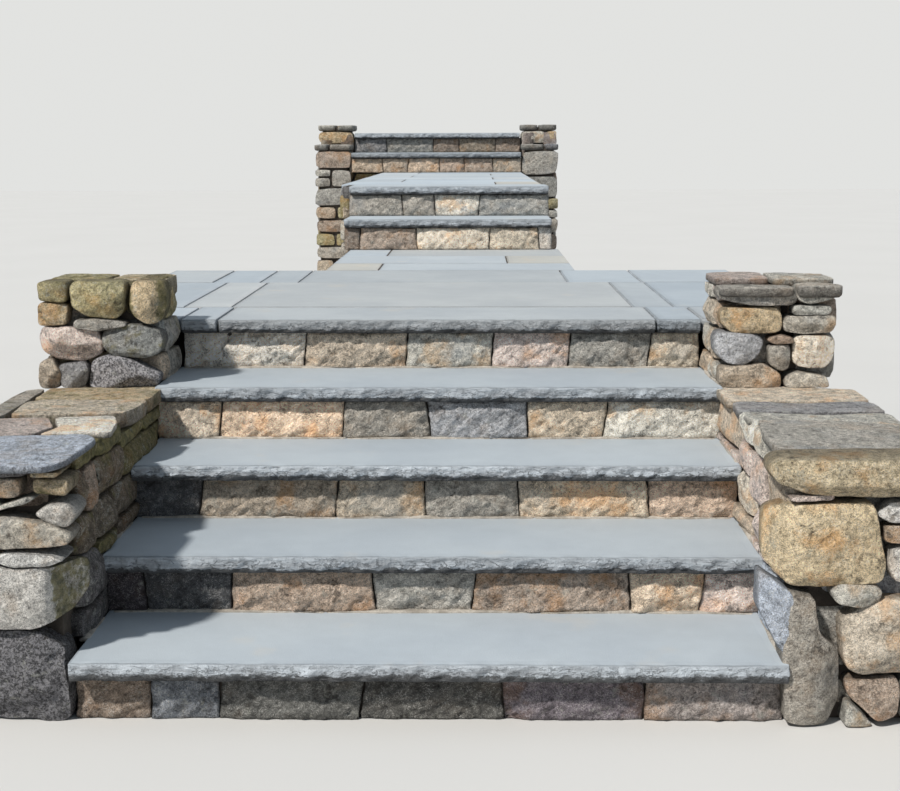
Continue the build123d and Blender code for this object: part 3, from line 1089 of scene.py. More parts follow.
def lay_riser(step):
    """Split blocks under a slab, each with its own tone, scaled for painted light and shade, leaning joints
    and a broken face.
    """
    node = f"riser_{step}"
    heap = Heap(RISER_SEED + step)
    islands = sorted(node_islands(node), key=lambda island: island[0][0])
    blocks = RISER_BLOCKS[step]
    lean_left = 0.0
    for index, (low, high) in enumerate(islands):
        lean_right = heap.random.uniform(-JOINT_LEAN, JOINT_LEAN) if index < len(islands) - 1 else 0.0
        left, right = low[0] / MM, high[0] / MM
        foot, head = low[2] / MM, high[2] / MM
        corners = [
            (left - lean_left - BLOCK_FIT, foot + BLOCK_FIT),
            (right - lean_right + BLOCK_FIT, foot + BLOCK_FIT),
            (right + lean_right, head - heap.random.uniform(*HEAD_DROP)),
            (left + lean_left, head - heap.random.uniform(*HEAD_DROP))]
        tone, light = blocks[index % len(blocks)]
        back = RECESS[step] + BLOCK_SETBACK + heap.random.uniform(*SETBACK_SPREAD)
        spacing = NEAR_SPACING if step < FIRST_FAR_STEP else FAR_SPACING
        add_block(heap, front_side(low[1]), corners, tone, spacing, back, light)
        lean_left = lean_right
    dress(f"{node}_stones", heap.mesh(), BLOCK_WEAR, "fieldstone", [node], "riser_stone")
    whole_low, whole_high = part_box(node)
    reach = CHEEK_REACH if step in BETWEEN_CHEEKS else -OPEN_INSET
    core_piece(f"{node}_joints", [(
        (whole_low.x - reach, whole_low.y + JOINT_DEPTH + RECESS[step] * MM, whole_low.z),
        (whole_high.x + reach, whole_high.y, whole_high.z + CORE_BITE))])


# Coursed walling for the faces that the photograph doesn't show closely

WALL_TONES = [
    "tan", "ochre", "grey", "pale", "pink", "gold", "brown", "slate", "cream", "grey", "moss", "green"]
# Sizes of the coursed stones in millimetres
COURSE_HEIGHTS = (110, 210)
STONE_LENGTHS = (150, 420)
STONE_DEPTH = 110
STONE_JOINT = 13
# A short stone in a high course may be two stones instead
HIGH_COURSE = 150
SHORT_STONE = 260
PAIR_CHANCE = 0.35
PAIR_CUT = (0.4, 0.6)
# A rest of a face smaller than these shares of the least sizes joins the last course or stone
LEAST_COURSE = 0.8
LEAST_STONE = 0.7
# How far a coursed stone may lie back in the wall
WALL_SPREAD = (-0.012, 0.0)
# How many different stones the walling is made of, where they are kept, and their size in millimetres
PROTOTYPES = 6
PROTOTYPE_SEED = 31
SHELF = "walling_prototypes"
UNIT = 1000
# What their corners and the middles of their sides may keep of that size
CORNER_PULL = (0.86, 1.0)
SIDE_PULL = (0.95, 1.0)
# Widths of the rings of a small stone's face
SMALL_SHARES = (0.75, 0.5, 0.25)


def course_cells(width, height, rng):
    """Splits a face into rough courses of stones; sizes are in millimetres."""
    cells = []
    level = 0.0
    while level < height - 1:
        rise = rng.uniform(*COURSE_HEIGHTS)
        if height - level - rise < COURSE_HEIGHTS[0] * LEAST_COURSE:
            rise = height - level
        place = 0.0
        while place < width - 1:
            wide = rng.uniform(*STONE_LENGTHS)
            if width - place - wide < STONE_LENGTHS[0] * LEAST_STONE:
                wide = width - place
            if rise > HIGH_COURSE and wide < SHORT_STONE and rng.random() < PAIR_CHANCE:
                cut = rise * rng.uniform(*PAIR_CUT)
                cells.append((place, level, wide, cut))
                cells.append((place, level + cut, wide, rise - cut))
            else:
                cells.append((place, level, wide, rise))
            place += wide
        level += rise
    return cells


def walling_points(name, faces, seed, moss):
    """Points that the coursed tree turns into stones.

    Each face is (start corner, end corner, foot, head): the stones look to the right of the way from
    start to end.
    """
    rng = random.Random(seed)
    rows = []
    for start, end, foot, head in faces:
        along = np.array(end, float) - np.array(start, float)
        width = float(np.linalg.norm(along))
        along /= width
        outward = np.array([along[1], -along[0]])
        turn = math.atan2(along[1], along[0])
        for place, level, wide, tall in course_cells(width / MM, (head - foot) / MM, rng):
            middle = np.array(start) + along * (place + wide / 2) * MM - outward * STONE_DEPTH * MM / 2
            middle = middle + outward * rng.uniform(*WALL_SPREAD)
            size = ((wide - STONE_JOINT) * MM, STONE_DEPTH * MM, (tall - STONE_JOINT) * MM)
            centre = (middle[0], middle[1], foot + (level + tall / 2) * MM)
            tone = rng.choice(WALL_TONES)
            rows.append((centre, size, turn, rng.randrange(PROTOTYPES), tone, rng.uniform(0.0, moss)))
    centres, sizes, turns, picks, tones, mosses = zip(*rows)
    mesh = bpy.data.meshes.new(name)
    mesh.from_pydata(centres, [], [])
    heap = Heap(seed + 1)
    store(mesh, "size", "FLOAT_VECTOR", sizes)
    store(mesh, "turn", "FLOAT", turns)
    store(mesh, "pick", "INT", picks)
    store(mesh, "tint", "FLOAT_COLOR", [rgba(heap.tone(tone)) for tone in tones])
    store(mesh, "moss", "FLOAT", mosses)
    store(mesh, "rust", "FLOAT", [rust_of(tone) for tone in tones])
    store(mesh, "seed", "FLOAT_VECTOR", [pattern_shift(rng) for _ in rows])
    return mesh


def stone_prototypes():
    """A few rounded stones of unit size, looking along -Y, that walling is made of."""
    if SHELF in bpy.data.collections:
        return bpy.data.collections[SHELF]
    shelf = bpy.data.collections.new(SHELF)
    rng = random.Random(PROTOTYPE_SEED)
    side = Side((0, -0.5, 0), (1, 0, 0), (0, 0, 1), (0, -1, 0))
    for number in range(PROTOTYPES):
        heap = Heap(number)
        corners = []
        for x, z in ((-1, -1), (0, -1), (1, -1), (1, 0), (1, 1), (0, 1), (-1, 1), (-1, 0)):
            corner = x != 0 and z != 0
            pull = rng.uniform(*(CORNER_PULL if corner else SIDE_PULL))
            corners.append((UNIT / 2 * x * pull, UNIT / 2 * z * pull))
        add_stone(
            heap, side, corners, UNIT, "grey", arris=50, bulge=130, roundness=0.10, count=22, back=80,
            lean=0.6, shares=SMALL_SHARES)
        mesh = heap.mesh(f"walling_stone_{number}")
        for label in ("tint", "moss", "rust", "seed"):
            mesh.attributes.remove(mesh.attributes[label])
        shelf.objects.link(bpy.data.objects.new(f"walling_stone_{number}", mesh))
    return shelf


def build_walling(name, faces, seed, moss, nodes=(), slot="fieldstone"):
    """Coursed stones on some faces, as one piece."""
    mesh = walling_points(name, faces, seed, moss)
    dress(name, mesh, COURSE_WEAR, "fieldstone", nodes, slot, "coursed_stone", Stones=stone_prototypes())


# How far the rubble lies behind the faces
CORE_INSET = 0.045
# Beds whose rubble meets the stones on it
COVERED_BEDS = ("landing_bed", "top_bed")
# Beds whose front shows at the left only: the node before them and the node on top
BARE_FRONTS = {
    "upper_landing_bed": ("step_bed_6", "tread_7"), "step_bed_8": ("upper_landing_bed", "riser_8")}
# How mossy the stones of the beds are at most, and the seed of the first bed
BED_MOSS = 0.3
FIRST_BED_SEED = 400
# The depth that a facing takes at a corner, the thickness of an upper cheek's caps, and how far its rubble
# reaches into them
FACING = 0.11
CHEEK_CAP = 0.055
CAP_SEAT = 0.030
CHEEK_MOSS = 0.2
CHEEK_CAP_TONES = ("grey", "pale", "slate")
CHEEK_CAP_POINTS = 40
CHEEK_CAP_MOSS = 0.1
CHEEK_CAP_SEED = 50
# Half the joint between two caps, and how far it may lie off the middle
CAP_HALF_JOINT = 0.004
CAP_JOINT_SPREAD = 0.04


def facing_runs(low, high, sides, head):
    """Where coursed stones stand round a box: start, end, foot and head of each side."""
    front = low[1] + (FACING if "front" in sides else 0.0)
    back = high[1] - (FACING if "back" in sides else 0.0)
    runs = {
        "left": ((low[0], back), (low[0], front)), "right": ((high[0], front), (high[0], back)),
        "front": ((low[0], low[1]), (high[0], low[1])), "back": ((high[0], high[1]), (low[0], high[1]))}
    return [(*runs[side], low[2], head) for side in sides]


def core_box(low, high, sides, head):
    """The rubble within a box, drawn back from the sides that are faced."""
    inset = {side: CORE_INSET if side in sides else 0.0 for side in ("left", "right", "front", "back")}
    return (
        (low[0] + inset["left"], low[1] + inset["front"], low[2]),
        (high[0] - inset["right"], high[1] - inset["back"], head))


def masonry_block(node, seed, sides):
    """A block of walling in place of a node: coursed stones on the sides that show, rubble within."""
    low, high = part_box(node)
    runs = facing_runs(low, high, [side for side in sides if side != "front"], high.z)
    if "front" in sides:
        before, above = BARE_FRONTS[node]
        runs.append(((low.x, low.y), (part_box(before)[0].x, low.y), low.z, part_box(above)[0].z))
    build_walling(node + "_facing", runs, seed, BED_MOSS, [node], "rubble_bed")
    above = CORE_BITE if node in COVERED_BEDS else -CORE_BITE
    core_piece(node + "_core", [core_box(low, high, sides, high.z + above)])


def upper_cheek(side, seed):
    """A stepped cheek beside the top flight: coursed stones under flat caps."""
    node = f"upper_cheek_{side}"
    low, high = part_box(node)
    corners = [vertex.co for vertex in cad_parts[node].data.vertices]
    step_line = min(corner.y for corner in corners if corner.z > high.z - MM)
    shoulder = max(corner.z for corner in corners if corner.y < step_line - MM)
    parts = [
        ((low.x, low.y, 0.0), (high.x, step_line, shoulder)),
        ((low.x, step_line, 0.0), (high.x, high.y, high.z))]
    runs = []
    cores = []
    caps = Heap(seed + CHEEK_CAP_SEED)
    for number, (start, end) in enumerate(parts):
        sides = ["left", "right", "front" if number == 0 else "back"]
        head = end[2] - CHEEK_CAP
        runs += facing_runs(start, end, sides, head)
        cores.append(core_box(start, end, [*sides, "front"], head + CAP_SEAT))
        middle = (start[0] + end[0]) / 2 + caps.random.uniform(-CAP_JOINT_SPREAD, CAP_JOINT_SPREAD)
        front, back = (start[1] - FRONT) / MM, (end[1] - FRONT) / MM
        for left, right in ((start[0], middle - CAP_HALF_JOINT), (middle + CAP_HALF_JOINT, end[0])):
            left, right = left / MM, right / MM
            outline = [
                (left + 4, front + 6), (right - 4, front + caps.random.uniform(4, 14)),
                (right - 3, back - 4), (left + 3, back - 4)]
            tone = caps.random.choice(CHEEK_CAP_TONES)
            add_cap(caps, outline, head / MM, end[2] / MM, tone, CHEEK_CAP_MOSS, CHEEK_CAP_POINTS)
    runs.append(((low.x, step_line), (high.x, step_line), shoulder, high.z - CHEEK_CAP))
    build_walling(f"{side}_cheek_facing", runs, seed, CHEEK_MOSS, [node], "rubble_bed")
    core_piece(f"{side}_cheek_core", cores)
    dress(f"{side}_cheek_caps", caps.mesh(), CAP_WEAR, "fieldstone", (), "cap_stone")


# Stones drawn one by one on the faces that the photograph shows: tone, moss, corners in millimetres, and
# what else differs from the other stones of the face

LEFT_PIER_FRONT = [
    ("moss", 0.5, [(-1286, 980), (-1198, 978), (-1196, 1041), (-1284, 1041)]),
    ("ochre", 0.45, [(-1290, 900), (-1200, 905), (-1194, 970), (-1288, 973)]),
    ("moss", 0.35, [(-1178, 960), (-1120, 930), (-1040, 924), (-1015, 950), (-1008, 1041), (-1180, 1041)],
     {"light": 1.28}),
    ("ochre", 0.35, [(-996, 985), (-985, 935), (-940, 904), (-900, 912), (-882, 960), (-882, 1020),
     (-890, 1041), (-985, 1041)], {"bevels": [(0, 15, 0.9), (200, 20, 0.35)], "arris": 6, "side_moss": 0.5,
     "light": 1.32}),
    ("grey", 0.3, [(-1176, 892), (-1100, 884), (-1005, 900), (-1010, 912), (-1100, 922), (-1170, 918)]),
    ("pink", 0.10, [(-1292, 860), (-1280, 815), (-1230, 790), (-1150, 784), (-1095, 812), (-1088, 850),
     (-1110, 885), (-1200, 896), (-1275, 893)], {"light": 1.5}),
    ("green", 0.45, [(-1084, 868), (-1080, 830), (-1050, 805), (-950, 798), (-905, 812), (-892, 850),
     (-905, 885), (-990, 903), (-1070, 893)]),
    ("tan", 0.3, [(-1296, 698), (-1235, 698), (-1228, 745), (-1255, 793), (-1290, 780)], {"arris": 5}),
    ("slate", 0.3, [(-1225, 698), (-1150, 698), (-1132, 760), (-1150, 784), (-1235, 770)], {"arris": 5}),
    ("speckled", 0.05, [(-1138, 705), (-1125, 698), (-920, 698), (-904, 740), (-1000, 790), (-1060, 802),
     (-1120, 785)], {"arris": 5}),
]
LEFT_PIER_SIDE = [
    ("moss", 0.6, [(1188, 930), (1250, 915), (1262, 1035), (1188, 1038)]),
    ("moss", 0.6, [(1270, 905), (1465, 910), (1470, 1036), (1275, 1038)]),
    ("green", 0.5, [(1188, 808), (1235, 800), (1245, 905), (1188, 915)]),
    ("grey", 0.5, [(1255, 795), (1535, 798), (1535, 862), (1466, 872), (1464, 895), (1262, 898)]),
    ("tan", 0.4, [(1188, 708), (1300, 706), (1290, 790), (1188, 796)]),
    ("grey", 0.4, [(1312, 706), (1535, 706), (1535, 785), (1304, 788)]),
]
RIGHT_PIER_FRONT = [
    ("grey", 0.05, [(900, 985), (1000, 970), (1135, 964), (1146, 980), (1144, 1008), (1000, 1022),
     (897, 1016)], {"arris": 4, "bulge": 12}),
    ("pale", 0.05, [(1150, 985), (1185, 970), (1262, 984), (1268, 1010), (1240, 1026), (1150, 1024)],
     {"arris": 4}),
    ("pale", 0.05, [(1138, 933), (1252, 935), (1258, 948), (1254, 962), (1140, 965)], {"arris": 3}),
    ("pale", 0.05, [(1114, 880), (1180, 872), (1262, 876), (1274, 905), (1268, 928), (1120, 930),
     (1108, 905)], {"arris": 5}),
    ("ochre", 0.10, [(912, 905), (940, 878), (1075, 874), (1102, 884), (1100, 930), (1088, 955), (925, 957),
     (908, 940)], {"arris": 8, "light": 1.3}),
    ("slate", 0.0, [(893, 852), (898, 810), (935, 778), (985, 772), (1030, 805), (1047, 843), (1030, 866),
     (960, 875), (905, 874)], {"arris": 8, "light": 1.45}),
    ("brown", 0.0, [(1060, 850), (1085, 840), (1135, 844), (1140, 856), (1105, 866), (1070, 862)]),
    ("grey", 0.0, [(1062, 832), (1070, 775), (1108, 752), (1130, 762), (1134, 834)], {"arris": 5}),
    ("cream", 0.05, [(1148, 865), (1142, 790), (1160, 766), (1240, 762), (1272, 790), (1277, 850),
     (1262, 866)], {"arris": 7, "light": 1.6}),
    ("tan", 0.0, [(912, 698), (912, 765), (1000, 768), (1045, 774), (1100, 742), (1110, 698)], {"arris": 6,
     "light": 1.2}),
    ("cream", 0.0, [(1120, 698), (1124, 735), (1160, 748), (1250, 735), (1262, 698)], {"arris": 6}),
]
RIGHT_PIER_SIDE = [
    ("pink", 0.05, [(1188, 972), (1290, 976), (1290, 1012), (1188, 1014)]),
    ("pale", 0.05, [(1300, 972), (1470, 974), (1470, 1012), (1300, 1012)]),
    ("tan", 0.05, [(1188, 885), (1262, 880), (1266, 962), (1188, 964)]),
    ("cream", 0.05, [(1275, 882), (1468, 882), (1468, 962), (1278, 962)]),
    ("tan", 0.05, [(1188, 782), (1350, 780), (1352, 868), (1188, 872)]),
    ("pale", 0.05, [(1360, 782), (1535, 784), (1535, 862), (1362, 866)]),
    ("pale", 0.05, [(1188, 706), (1330, 706), (1330, 770), (1188, 772)]),
    ("tan", 0.05, [(1342, 706), (1535, 706), (1535, 772), (1342, 772)]),
]
LEFT_WALL_FRONT = [
    ("dark", 0.1, [(-1315, 655), (-1000, 658), (-1000, 684), (-1315, 680)]),
    ("ochre", 0.5, [(-990, 654), (-925, 656), (-922, 668), (-990, 668)], {"arris": 3}),
    ("tan", 0.2, [(-1315, 598), (-1150, 600), (-1145, 648), (-1315, 648)]),
    ("tan", 0.3, [(-1135, 600), (-1025, 604), (-1022, 650), (-1135, 648)]),
    ("ochre", 0.5, [(-985, 612), (-906, 610), (-903, 645), (-985, 650)]),
    ("grey", 0.1, [(-1315, 552), (-1120, 560), (-1060, 588), (-1315, 590)]),
    ("pale", 0.1, [(-1108, 560), (-1010, 586), (-985, 600), (-1000, 604), (-1100, 575)]),
    ("white", 0.0, [(-988, 558), (-940, 526), (-908, 525), (-885, 560), (-905, 582), (-950, 582)]),
    ("pale", 0.0, [(-1315, 470), (-1050, 470), (-905, 478), (-898, 505), (-960, 535), (-1060, 548),
     (-1315, 545)]),
    ("white", 0.0, [(-1100, 440), (-1050, 424), (-960, 424), (-918, 438), (-960, 452), (-1070, 456)],
     {"arris": 3}),
    ("tan", 0.1, [(-1315, 425), (-1080, 428), (-1080, 460), (-1315, 460)]),
    ("white", 0.0, [(-1150, 270), (-1084, 258), (-1000, 262), (-930, 285), (-895, 335), (-893, 412),
     (-1075, 418), (-1150, 420)], {"bevels": [(0, 68, 2.2)], "side_moss": 0.8, "arris": 4, "bulge": 14,
     "back": 0, "light": 0.82}),
    ("grey", 0.2, [(-1315, 268), (-1165, 272), (-1165, 412), (-1315, 412)]),
    ("speckled_dark", 0.0, [(-1150, 4), (-928, 4), (-922, 75), (-930, 205), (-985, 240), (-1035, 248),
     (-1090, 244), (-1150, 228)], {"arris": 5, "bulge": 28, "rough": 2.6, "cuts": 11, "light": 1.25}),
    ("grey", 0.1, [(-1315, 8), (-1165, 6), (-1165, 130), (-1315, 132)]),
    ("tan", 0.1, [(-1315, 145), (-1165, 142), (-1165, 250), (-1315, 252)]),
]
RIGHT_WALL_FRONT = [
    ("pink", 0.0, [(905, 598), (925, 594), (1010, 600), (1012, 612), (915, 606)], {"arris": 2}),
    ("slate", 0.2, [(1025, 602), (1318, 600), (1318, 640), (1030, 640)], {"back": 60}),
    ("ochre", 0.10, [(856, 480), (860, 430), (915, 374), (1000, 370), (1147, 388), (1149, 447), (1112, 593),
     (930, 583), (880, 572), (855, 557)], {"bevels": [(180, 85, 1.3)], "arris": 5, "bulge": 18,
     "roundness": 0.04, "back": 0, "light": 1.42}),
    ("white", 0.0, [(1125, 560), (1160, 540), (1318, 540), (1318, 594), (1160, 594)]),
    ("tan", 0.0, [(1150, 488), (1318, 486), (1318, 530), (1148, 532)]),
    ("white", 0.0, [(1160, 430), (1180, 385), (1318, 380), (1318, 476), (1170, 474)]),
    ("pale", 0.0, [(1021, 362), (1035, 330), (1100, 315), (1140, 335), (1146, 362), (1125, 378),
     (1040, 378)]),
    ("sky", 0.0, [(845, 402), (846, 304), (905, 188), (925, 150), (934, 250), (920, 352)],
     {"bevels": [(180, 12, 1.0)], "arris": 3, "bulge": 8, "roundness": 0.03, "back": 4}),
    ("grey", 0.10, [(908, 356), (904, 190), (912, 20), (937, 10), (1021, 7), (1050, 66), (1043, 202),
     (988, 252), (980, 345)], {"bevels": [(0, 45, 0.5)], "arris": 4, "bulge": 16, "roundness": 0.03,
     "back": 0, "light": 0.9}),
    ("cream", 0.0, [(1062, 165), (1100, 142), (1318, 138), (1318, 330), (1150, 338), (1105, 318),
     (1045, 285)], {"arris": 7, "bevels": [(290, 30, 0.5)]}),
    ("brown", 0.0, [(1066, 122), (1080, 75), (1150, 18), (1200, 30), (1200, 128)], {"arris": 4}),
    ("grey", 0.0, [(1210, 20), (1318, 12), (1318, 128), (1210, 128)]),
    ("pale", 0.0, [(1065, 4), (1138, 4), (1105, 40), (1072, 66)]),
]
# The left cheek lies in shade: its darkened tones are painted shade
LEFT_CHEEK = [
    ("shaded_moss", 0.7, [(170, 640), (360, 640), (365, 676), (175, 678)]),
    ("moss", 1.0, [(375, 630), (620, 632), (622, 676), (378, 678)]),
    ("moss", 0.8, [(632, 600), (900, 604), (902, 640), (636, 640)]),
    ("shaded_moss", 0.7, [(912, 600), (1185, 600), (1185, 640), (914, 640)]),
    ("umber", 0.4, [(172, 520), (240, 512), (250, 628), (175, 630)]),
    ("brown", 0.1, [(262, 505), (385, 512), (380, 622), (268, 625)]),
    ("umber", 0.5, [(396, 512), (620, 515), (622, 618), (398, 620)]),
    ("umber", 0.5, [(175, 410), (300, 392), (330, 495), (185, 508)]),
    ("umber", 0.4, [(342, 400), (520, 402), (540, 500), (350, 504)]),
    ("umber", 0.4, [(555, 410), (825, 412), (825, 500), (558, 502)]),
    ("shaded_moss", 0.6, [(634, 512), (1185, 510), (1185, 590), (636, 592)]),
    ("dark", 0.3, [(175, 262), (450, 262), (450, 345), (352, 352), (345, 385), (180, 398)]),
    ("shaded_moss", 0.6, [(362, 357), (540, 355), (545, 390), (360, 392)]),
    ("umber", 0.4, [(555, 357), (825, 357), (825, 400), (555, 400)]),
    ("dark", 0.3, [(175, 178), (450, 178), (450, 250), (178, 250)]),
]
RIGHT_CHEEK = [
    ("tan", 0.05, [(790, 560), (1185, 560), (1185, 690), (800, 694)]),
    ("pale", 0.05, [(560, 620), (780, 616), (786, 692), (566, 694)]),
    ("tan", 0.10, [(62, 600), (72, 545), (150, 498), (300, 490), (392, 525), (400, 585), (300, 638),
     (120, 645)], {"bulge": 30, "back": -6}),
    ("pink", 0.05, [(412, 470), (548, 480), (550, 606), (420, 610)]),
    ("pink", 0.05, [(560, 530), (780, 530), (780, 606), (562, 606)]),
    ("pale", 0.0, [(360, 622), (550, 620), (548, 690), (364, 694)]),
    ("pink", 0.0, [(300, 380), (470, 372), (552, 400), (548, 450), (430, 452), (310, 448)]),
    ("cream", 0.05, [(562, 410), (825, 410), (825, 518), (562, 518)]),
    ("tan", 0.05, [(555, 357), (825, 357), (825, 402), (555, 402)]),
    ("pink", 0.0, [(730, 530), (900, 528), (1185, 530), (1185, 548), (732, 548)]),
    ("tan", 0.0, [(168, 350), (285, 350), (290, 452), (172, 485)]),
    ("blue", 0.0, [(165, 182), (455, 182), (455, 340), (168, 340)]),
    ("pink", 0.0, [(300, 352), (540, 352), (545, 368), (305, 370)]),
]


# Drawn stones wider or taller than this, in millimetres, get more points
LARGE_STONE = 150
LARGE_SHARES = (0.88, 0.75, 0.61, 0.47, 0.33, 0.18)
LARGE_POINTS = 46
SMALL_POINTS = 26
SMALL_ROUGHNESS = 0.7
# How round the corners of a drawn stone are, and in millimetres how its outline swells and how far it may
# lie back
DRAWN_ROUNDNESS = 0.08
DRAWN_SWELL = 4.0
DRAWN_BACK = (0, 5)
# The shares of a stone's smaller span that its arris and bulge may take
GREATEST_ARRIS = 0.15
GREATEST_BULGE = 0.22


def add_drawn(heap, side, stones, depth, arris, bulge, mirror=False, light=1.0):
    """Adds the stones of one face; a mirrored face counts its distances the other way."""
    for tone, moss, corners, *extra in stones:
        if mirror:
            corners = [(-place, level) for place, level in corners]
        spans = np.ptp(np.array(corners, float), axis=0)
        large = max(spans) > LARGE_STONE
        options = {
            "arris": arris, "bulge": bulge, "light": light, "moss": moss, "roundness": DRAWN_ROUNDNESS,
            "swell": DRAWN_SWELL, "count": LARGE_POINTS if large else SMALL_POINTS,
            "back": heap.random.uniform(*DRAWN_BACK), "rough": 1.0 if large else SMALL_ROUGHNESS,
            "shares": LARGE_SHARES if large else SMALL_SHARES, **(extra[0] if extra else {})}
        options["arris"] = min(options["arris"], min(spans) * GREATEST_ARRIS)
        options["bulge"] = min(options["bulge"], min(spans) * GREATEST_BULGE)
        add_stone(heap, side, corners, depth, tone, **options)


# The drawn stones of a front lie a little behind its line, and the coursed ones behind the drawn ones
WALL_SETBACK = 0.022
PIER_SETBACK = 0.020
FILLING_SETBACK = 0.055
# Distance of the inner faces of the cheek walls from the middle of the steps
WALL_FACE = 0.905
# Left and right, as the sign of X
SIGNS = {"left": -1, "right": 1}
# Depth, arris and bulge of the drawn stones in millimetres
FRONT_STONES = (150, 8, 25)
PIER_SIDE_STONES = (120, 10, 22)
CHEEK_STONES = (130, 10, 24)
# The right wall's face by the steps is lighter, because it lies in the sun
SUNNY_LIGHT = 1.3
# How far behind the front line the coursed stones of the outer faces begin
PIER_OUTER_START = 0.15
WALL_OUTER_START = 0.155
# How far the coursed stones end below the pier tops: on the outer faces and behind the drawn ones
OUTER_DROP = 0.01
FILLING_DROP = 0.05
# Height of the coursed stones of the walls
WALL_FILLING_HEAD = 0.66
# How mossy the coursed stones are at most
PIER_MOSS = {"left": 0.6, "right": 0.1}
WALL_MOSS = 0.4
# Height from which the wall's rubble begins behind the piers
WALL_CORE_STEP = 0.60
# How far the rubble lies behind the faces: at the front, at a pier's sides and back, and at a wall's face
# by the steps
FRONT_CORE_INSET = 0.10
PIER_CORE_INSET = 0.07
PIER_BACK_INSET = 0.04
WALL_CORE_INSET = 0.030
# How far the upper part of a wall's rubble reaches into the pier
WALL_CORE_REACH = 0.03
# Seeds of each side's stones, to which the sign of its X is added
PIER_SEED = 210
PIER_FILLING_SEED = 220
WALL_SEED = 310
WALL_FILLING_SEED = 320


def drawn_piece(node, seed, front, front_stones, inner, side_stones, side_shape, light=1.0):
    """The drawn stones of a wall or pier, on its front and on its face by the steps, as one piece."""
    sign = SIGNS[node.split("_")[0]]
    heap = Heap(seed + sign)
    add_drawn(heap, front_side(front), front_stones, *FRONT_STONES)
    mirror = sign > 0
    face = left_facing(inner) if mirror else right_facing(inner)
    add_drawn(heap, face, side_stones, *side_shape, mirror, light)
    dress(f"{node}_stones", heap.mesh(), BOULDER_WEAR, "fieldstone", [node], "fieldstone")


def filling_runs(sign, inner, outer, behind, outer_start, back):
    """Where coursed stones stand outside, behind the drawn ones by the steps and behind the front."""
    corner = inner + sign * FILLING_SETBACK
    outside = ((outer, outer_start), (outer, back))
    inside = ((corner, back), (corner, behind + FACING))
    fronts = ((corner, behind), (outer, behind))
    return [run[::sign] for run in (outside, inside, fronts)]


def build_pier(side_name, front_stones, side_stones):
    """A square pier of boulders: drawn stones on the front and inner face, coursed ones behind."""
    sign = SIGNS[side_name]
    node = f"{side_name}_pier"
    low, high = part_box(node)
    inner, outer = (low.x, high.x) if sign > 0 else (high.x, low.x)
    front = PIER_FRONT + PIER_SETBACK
    drawn_piece(node, PIER_SEED, front, front_stones, inner, side_stones, PIER_SIDE_STONES)
    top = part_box(f"{node}_cap")[1].z
    outside, inside, fronts = filling_runs(
        sign, inner, outer, front + FILLING_SETBACK, PIER_FRONT + PIER_OUTER_START, PIER_BACK)
    back = (max(inner, outer) - FACING, PIER_BACK), (min(inner, outer) + FACING, PIER_BACK)
    faces = [(*run, low.z, top - OUTER_DROP) for run in (outside, back)]
    faces += [(*run, low.z, top - FILLING_DROP) for run in (inside, fronts)]
    build_walling(f"{node}_filling", faces, PIER_FILLING_SEED + sign, PIER_MOSS[side_name])
    core_piece(f"{node}_core", [(
        (low.x + PIER_CORE_INSET, low.y + FRONT_CORE_INSET, low.z),
        (high.x - PIER_CORE_INSET, high.y - PIER_BACK_INSET, top - FILLING_DROP))])


# How far below its top the face of a cap begins, and the widths of the rings of that face
CAP_SINK = 0.003
CAP_SHARES = (0.93, 0.80, 0.64, 0.46, 0.26)


def add_cap(heap, corners, low, high, tone, moss, count=60):
    """A rough flat stone lying on a wall."""
    add_stone(
        heap, ground_side(high * MM - CAP_SINK), corners, high - low, tone, arris=5, bulge=3, moss=moss,
        roundness=0.07, count=count, cuts=4, lean=0.2, shares=CAP_SHARES)


# The long stone that lies on the right wall's front, seen from the front, in millimetres
LONG_CAP = [
    (860, 688), (856, 662), (878, 632), (935, 612), (1060, 604), (1328, 604), (1328, 702), (1240, 706),
    (960, 702), (885, 700)]
LONG_CAP_SETBACK = 0.002
LONG_CAP_SEED = 333
LONG_CAP_SHARES = (0.92, 0.82, 0.71, 0.59, 0.46, 0.32, 0.17)

# Caps seen from above: (tone, moss, underside, top, corners) in millimetres, Y from the first nosing
LEFT_CAPS = [
    ("sky", 0.02, 670, 698, [(-1335, -15), (-940, -18), (-908, 50), (-900, 335), (-948, 395),
     (-1335, 335)]),
    ("pink", 0.05, 672, 701, [(-1335, 347), (-1090, 368), (-1062, 480), (-1120, 625), (-1335, 602)]),
    ("bone", 0.05, 672, 699, [(-1078, 378), (-935, 405), (-884, 420), (-902, 560), (-935, 662),
     (-1108, 640), (-1050, 482)]),
    ("gold", 0.45, 640, 703, [(-1245, 650), (-1115, 652), (-922, 676), (-893, 760), (-890, 900),
     (-1262, 898)]),
    ("ochre", 0.50, 640, 702, [(-1255, 910), (-893, 912), (-893, 1185), (-1258, 1120)]),
    ("grey", 0.40, 660, 700, [(-1335, 614), (-1258, 640), (-1270, 1120), (-1335, 1120)]),
]
RIGHT_CAPS = [
    ("grey", 0.02, 664, 702, [(900, 180), (1335, 175), (1335, 500), (1180, 560), (930, 602), (905, 420)]),
    ("pale", 0.02, 668, 698, [(905, 614), (1190, 572), (1335, 512), (1335, 702), (1100, 690), (905, 702)]),
    ("slate", 0.02, 664, 701, [(893, 714), (1100, 702), (1335, 714), (1335, 880), (1130, 858), (905, 880)]),
    ("cream", 0.02, 660, 702, [(893, 892), (1130, 870), (1335, 892), (1335, 1118), (895, 1185)]),
]
LEFT_PIER_TOP = [
    ("moss", 0.6, 960, 1043, [(-1290, 1262), (-1100, 1258), (-1095, 1472), (-1290, 1475)]),
    ("ochre", 0.5, 960, 1041, [(-1085, 1262), (-903, 1258), (-900, 1472), (-1085, 1475)]),
]
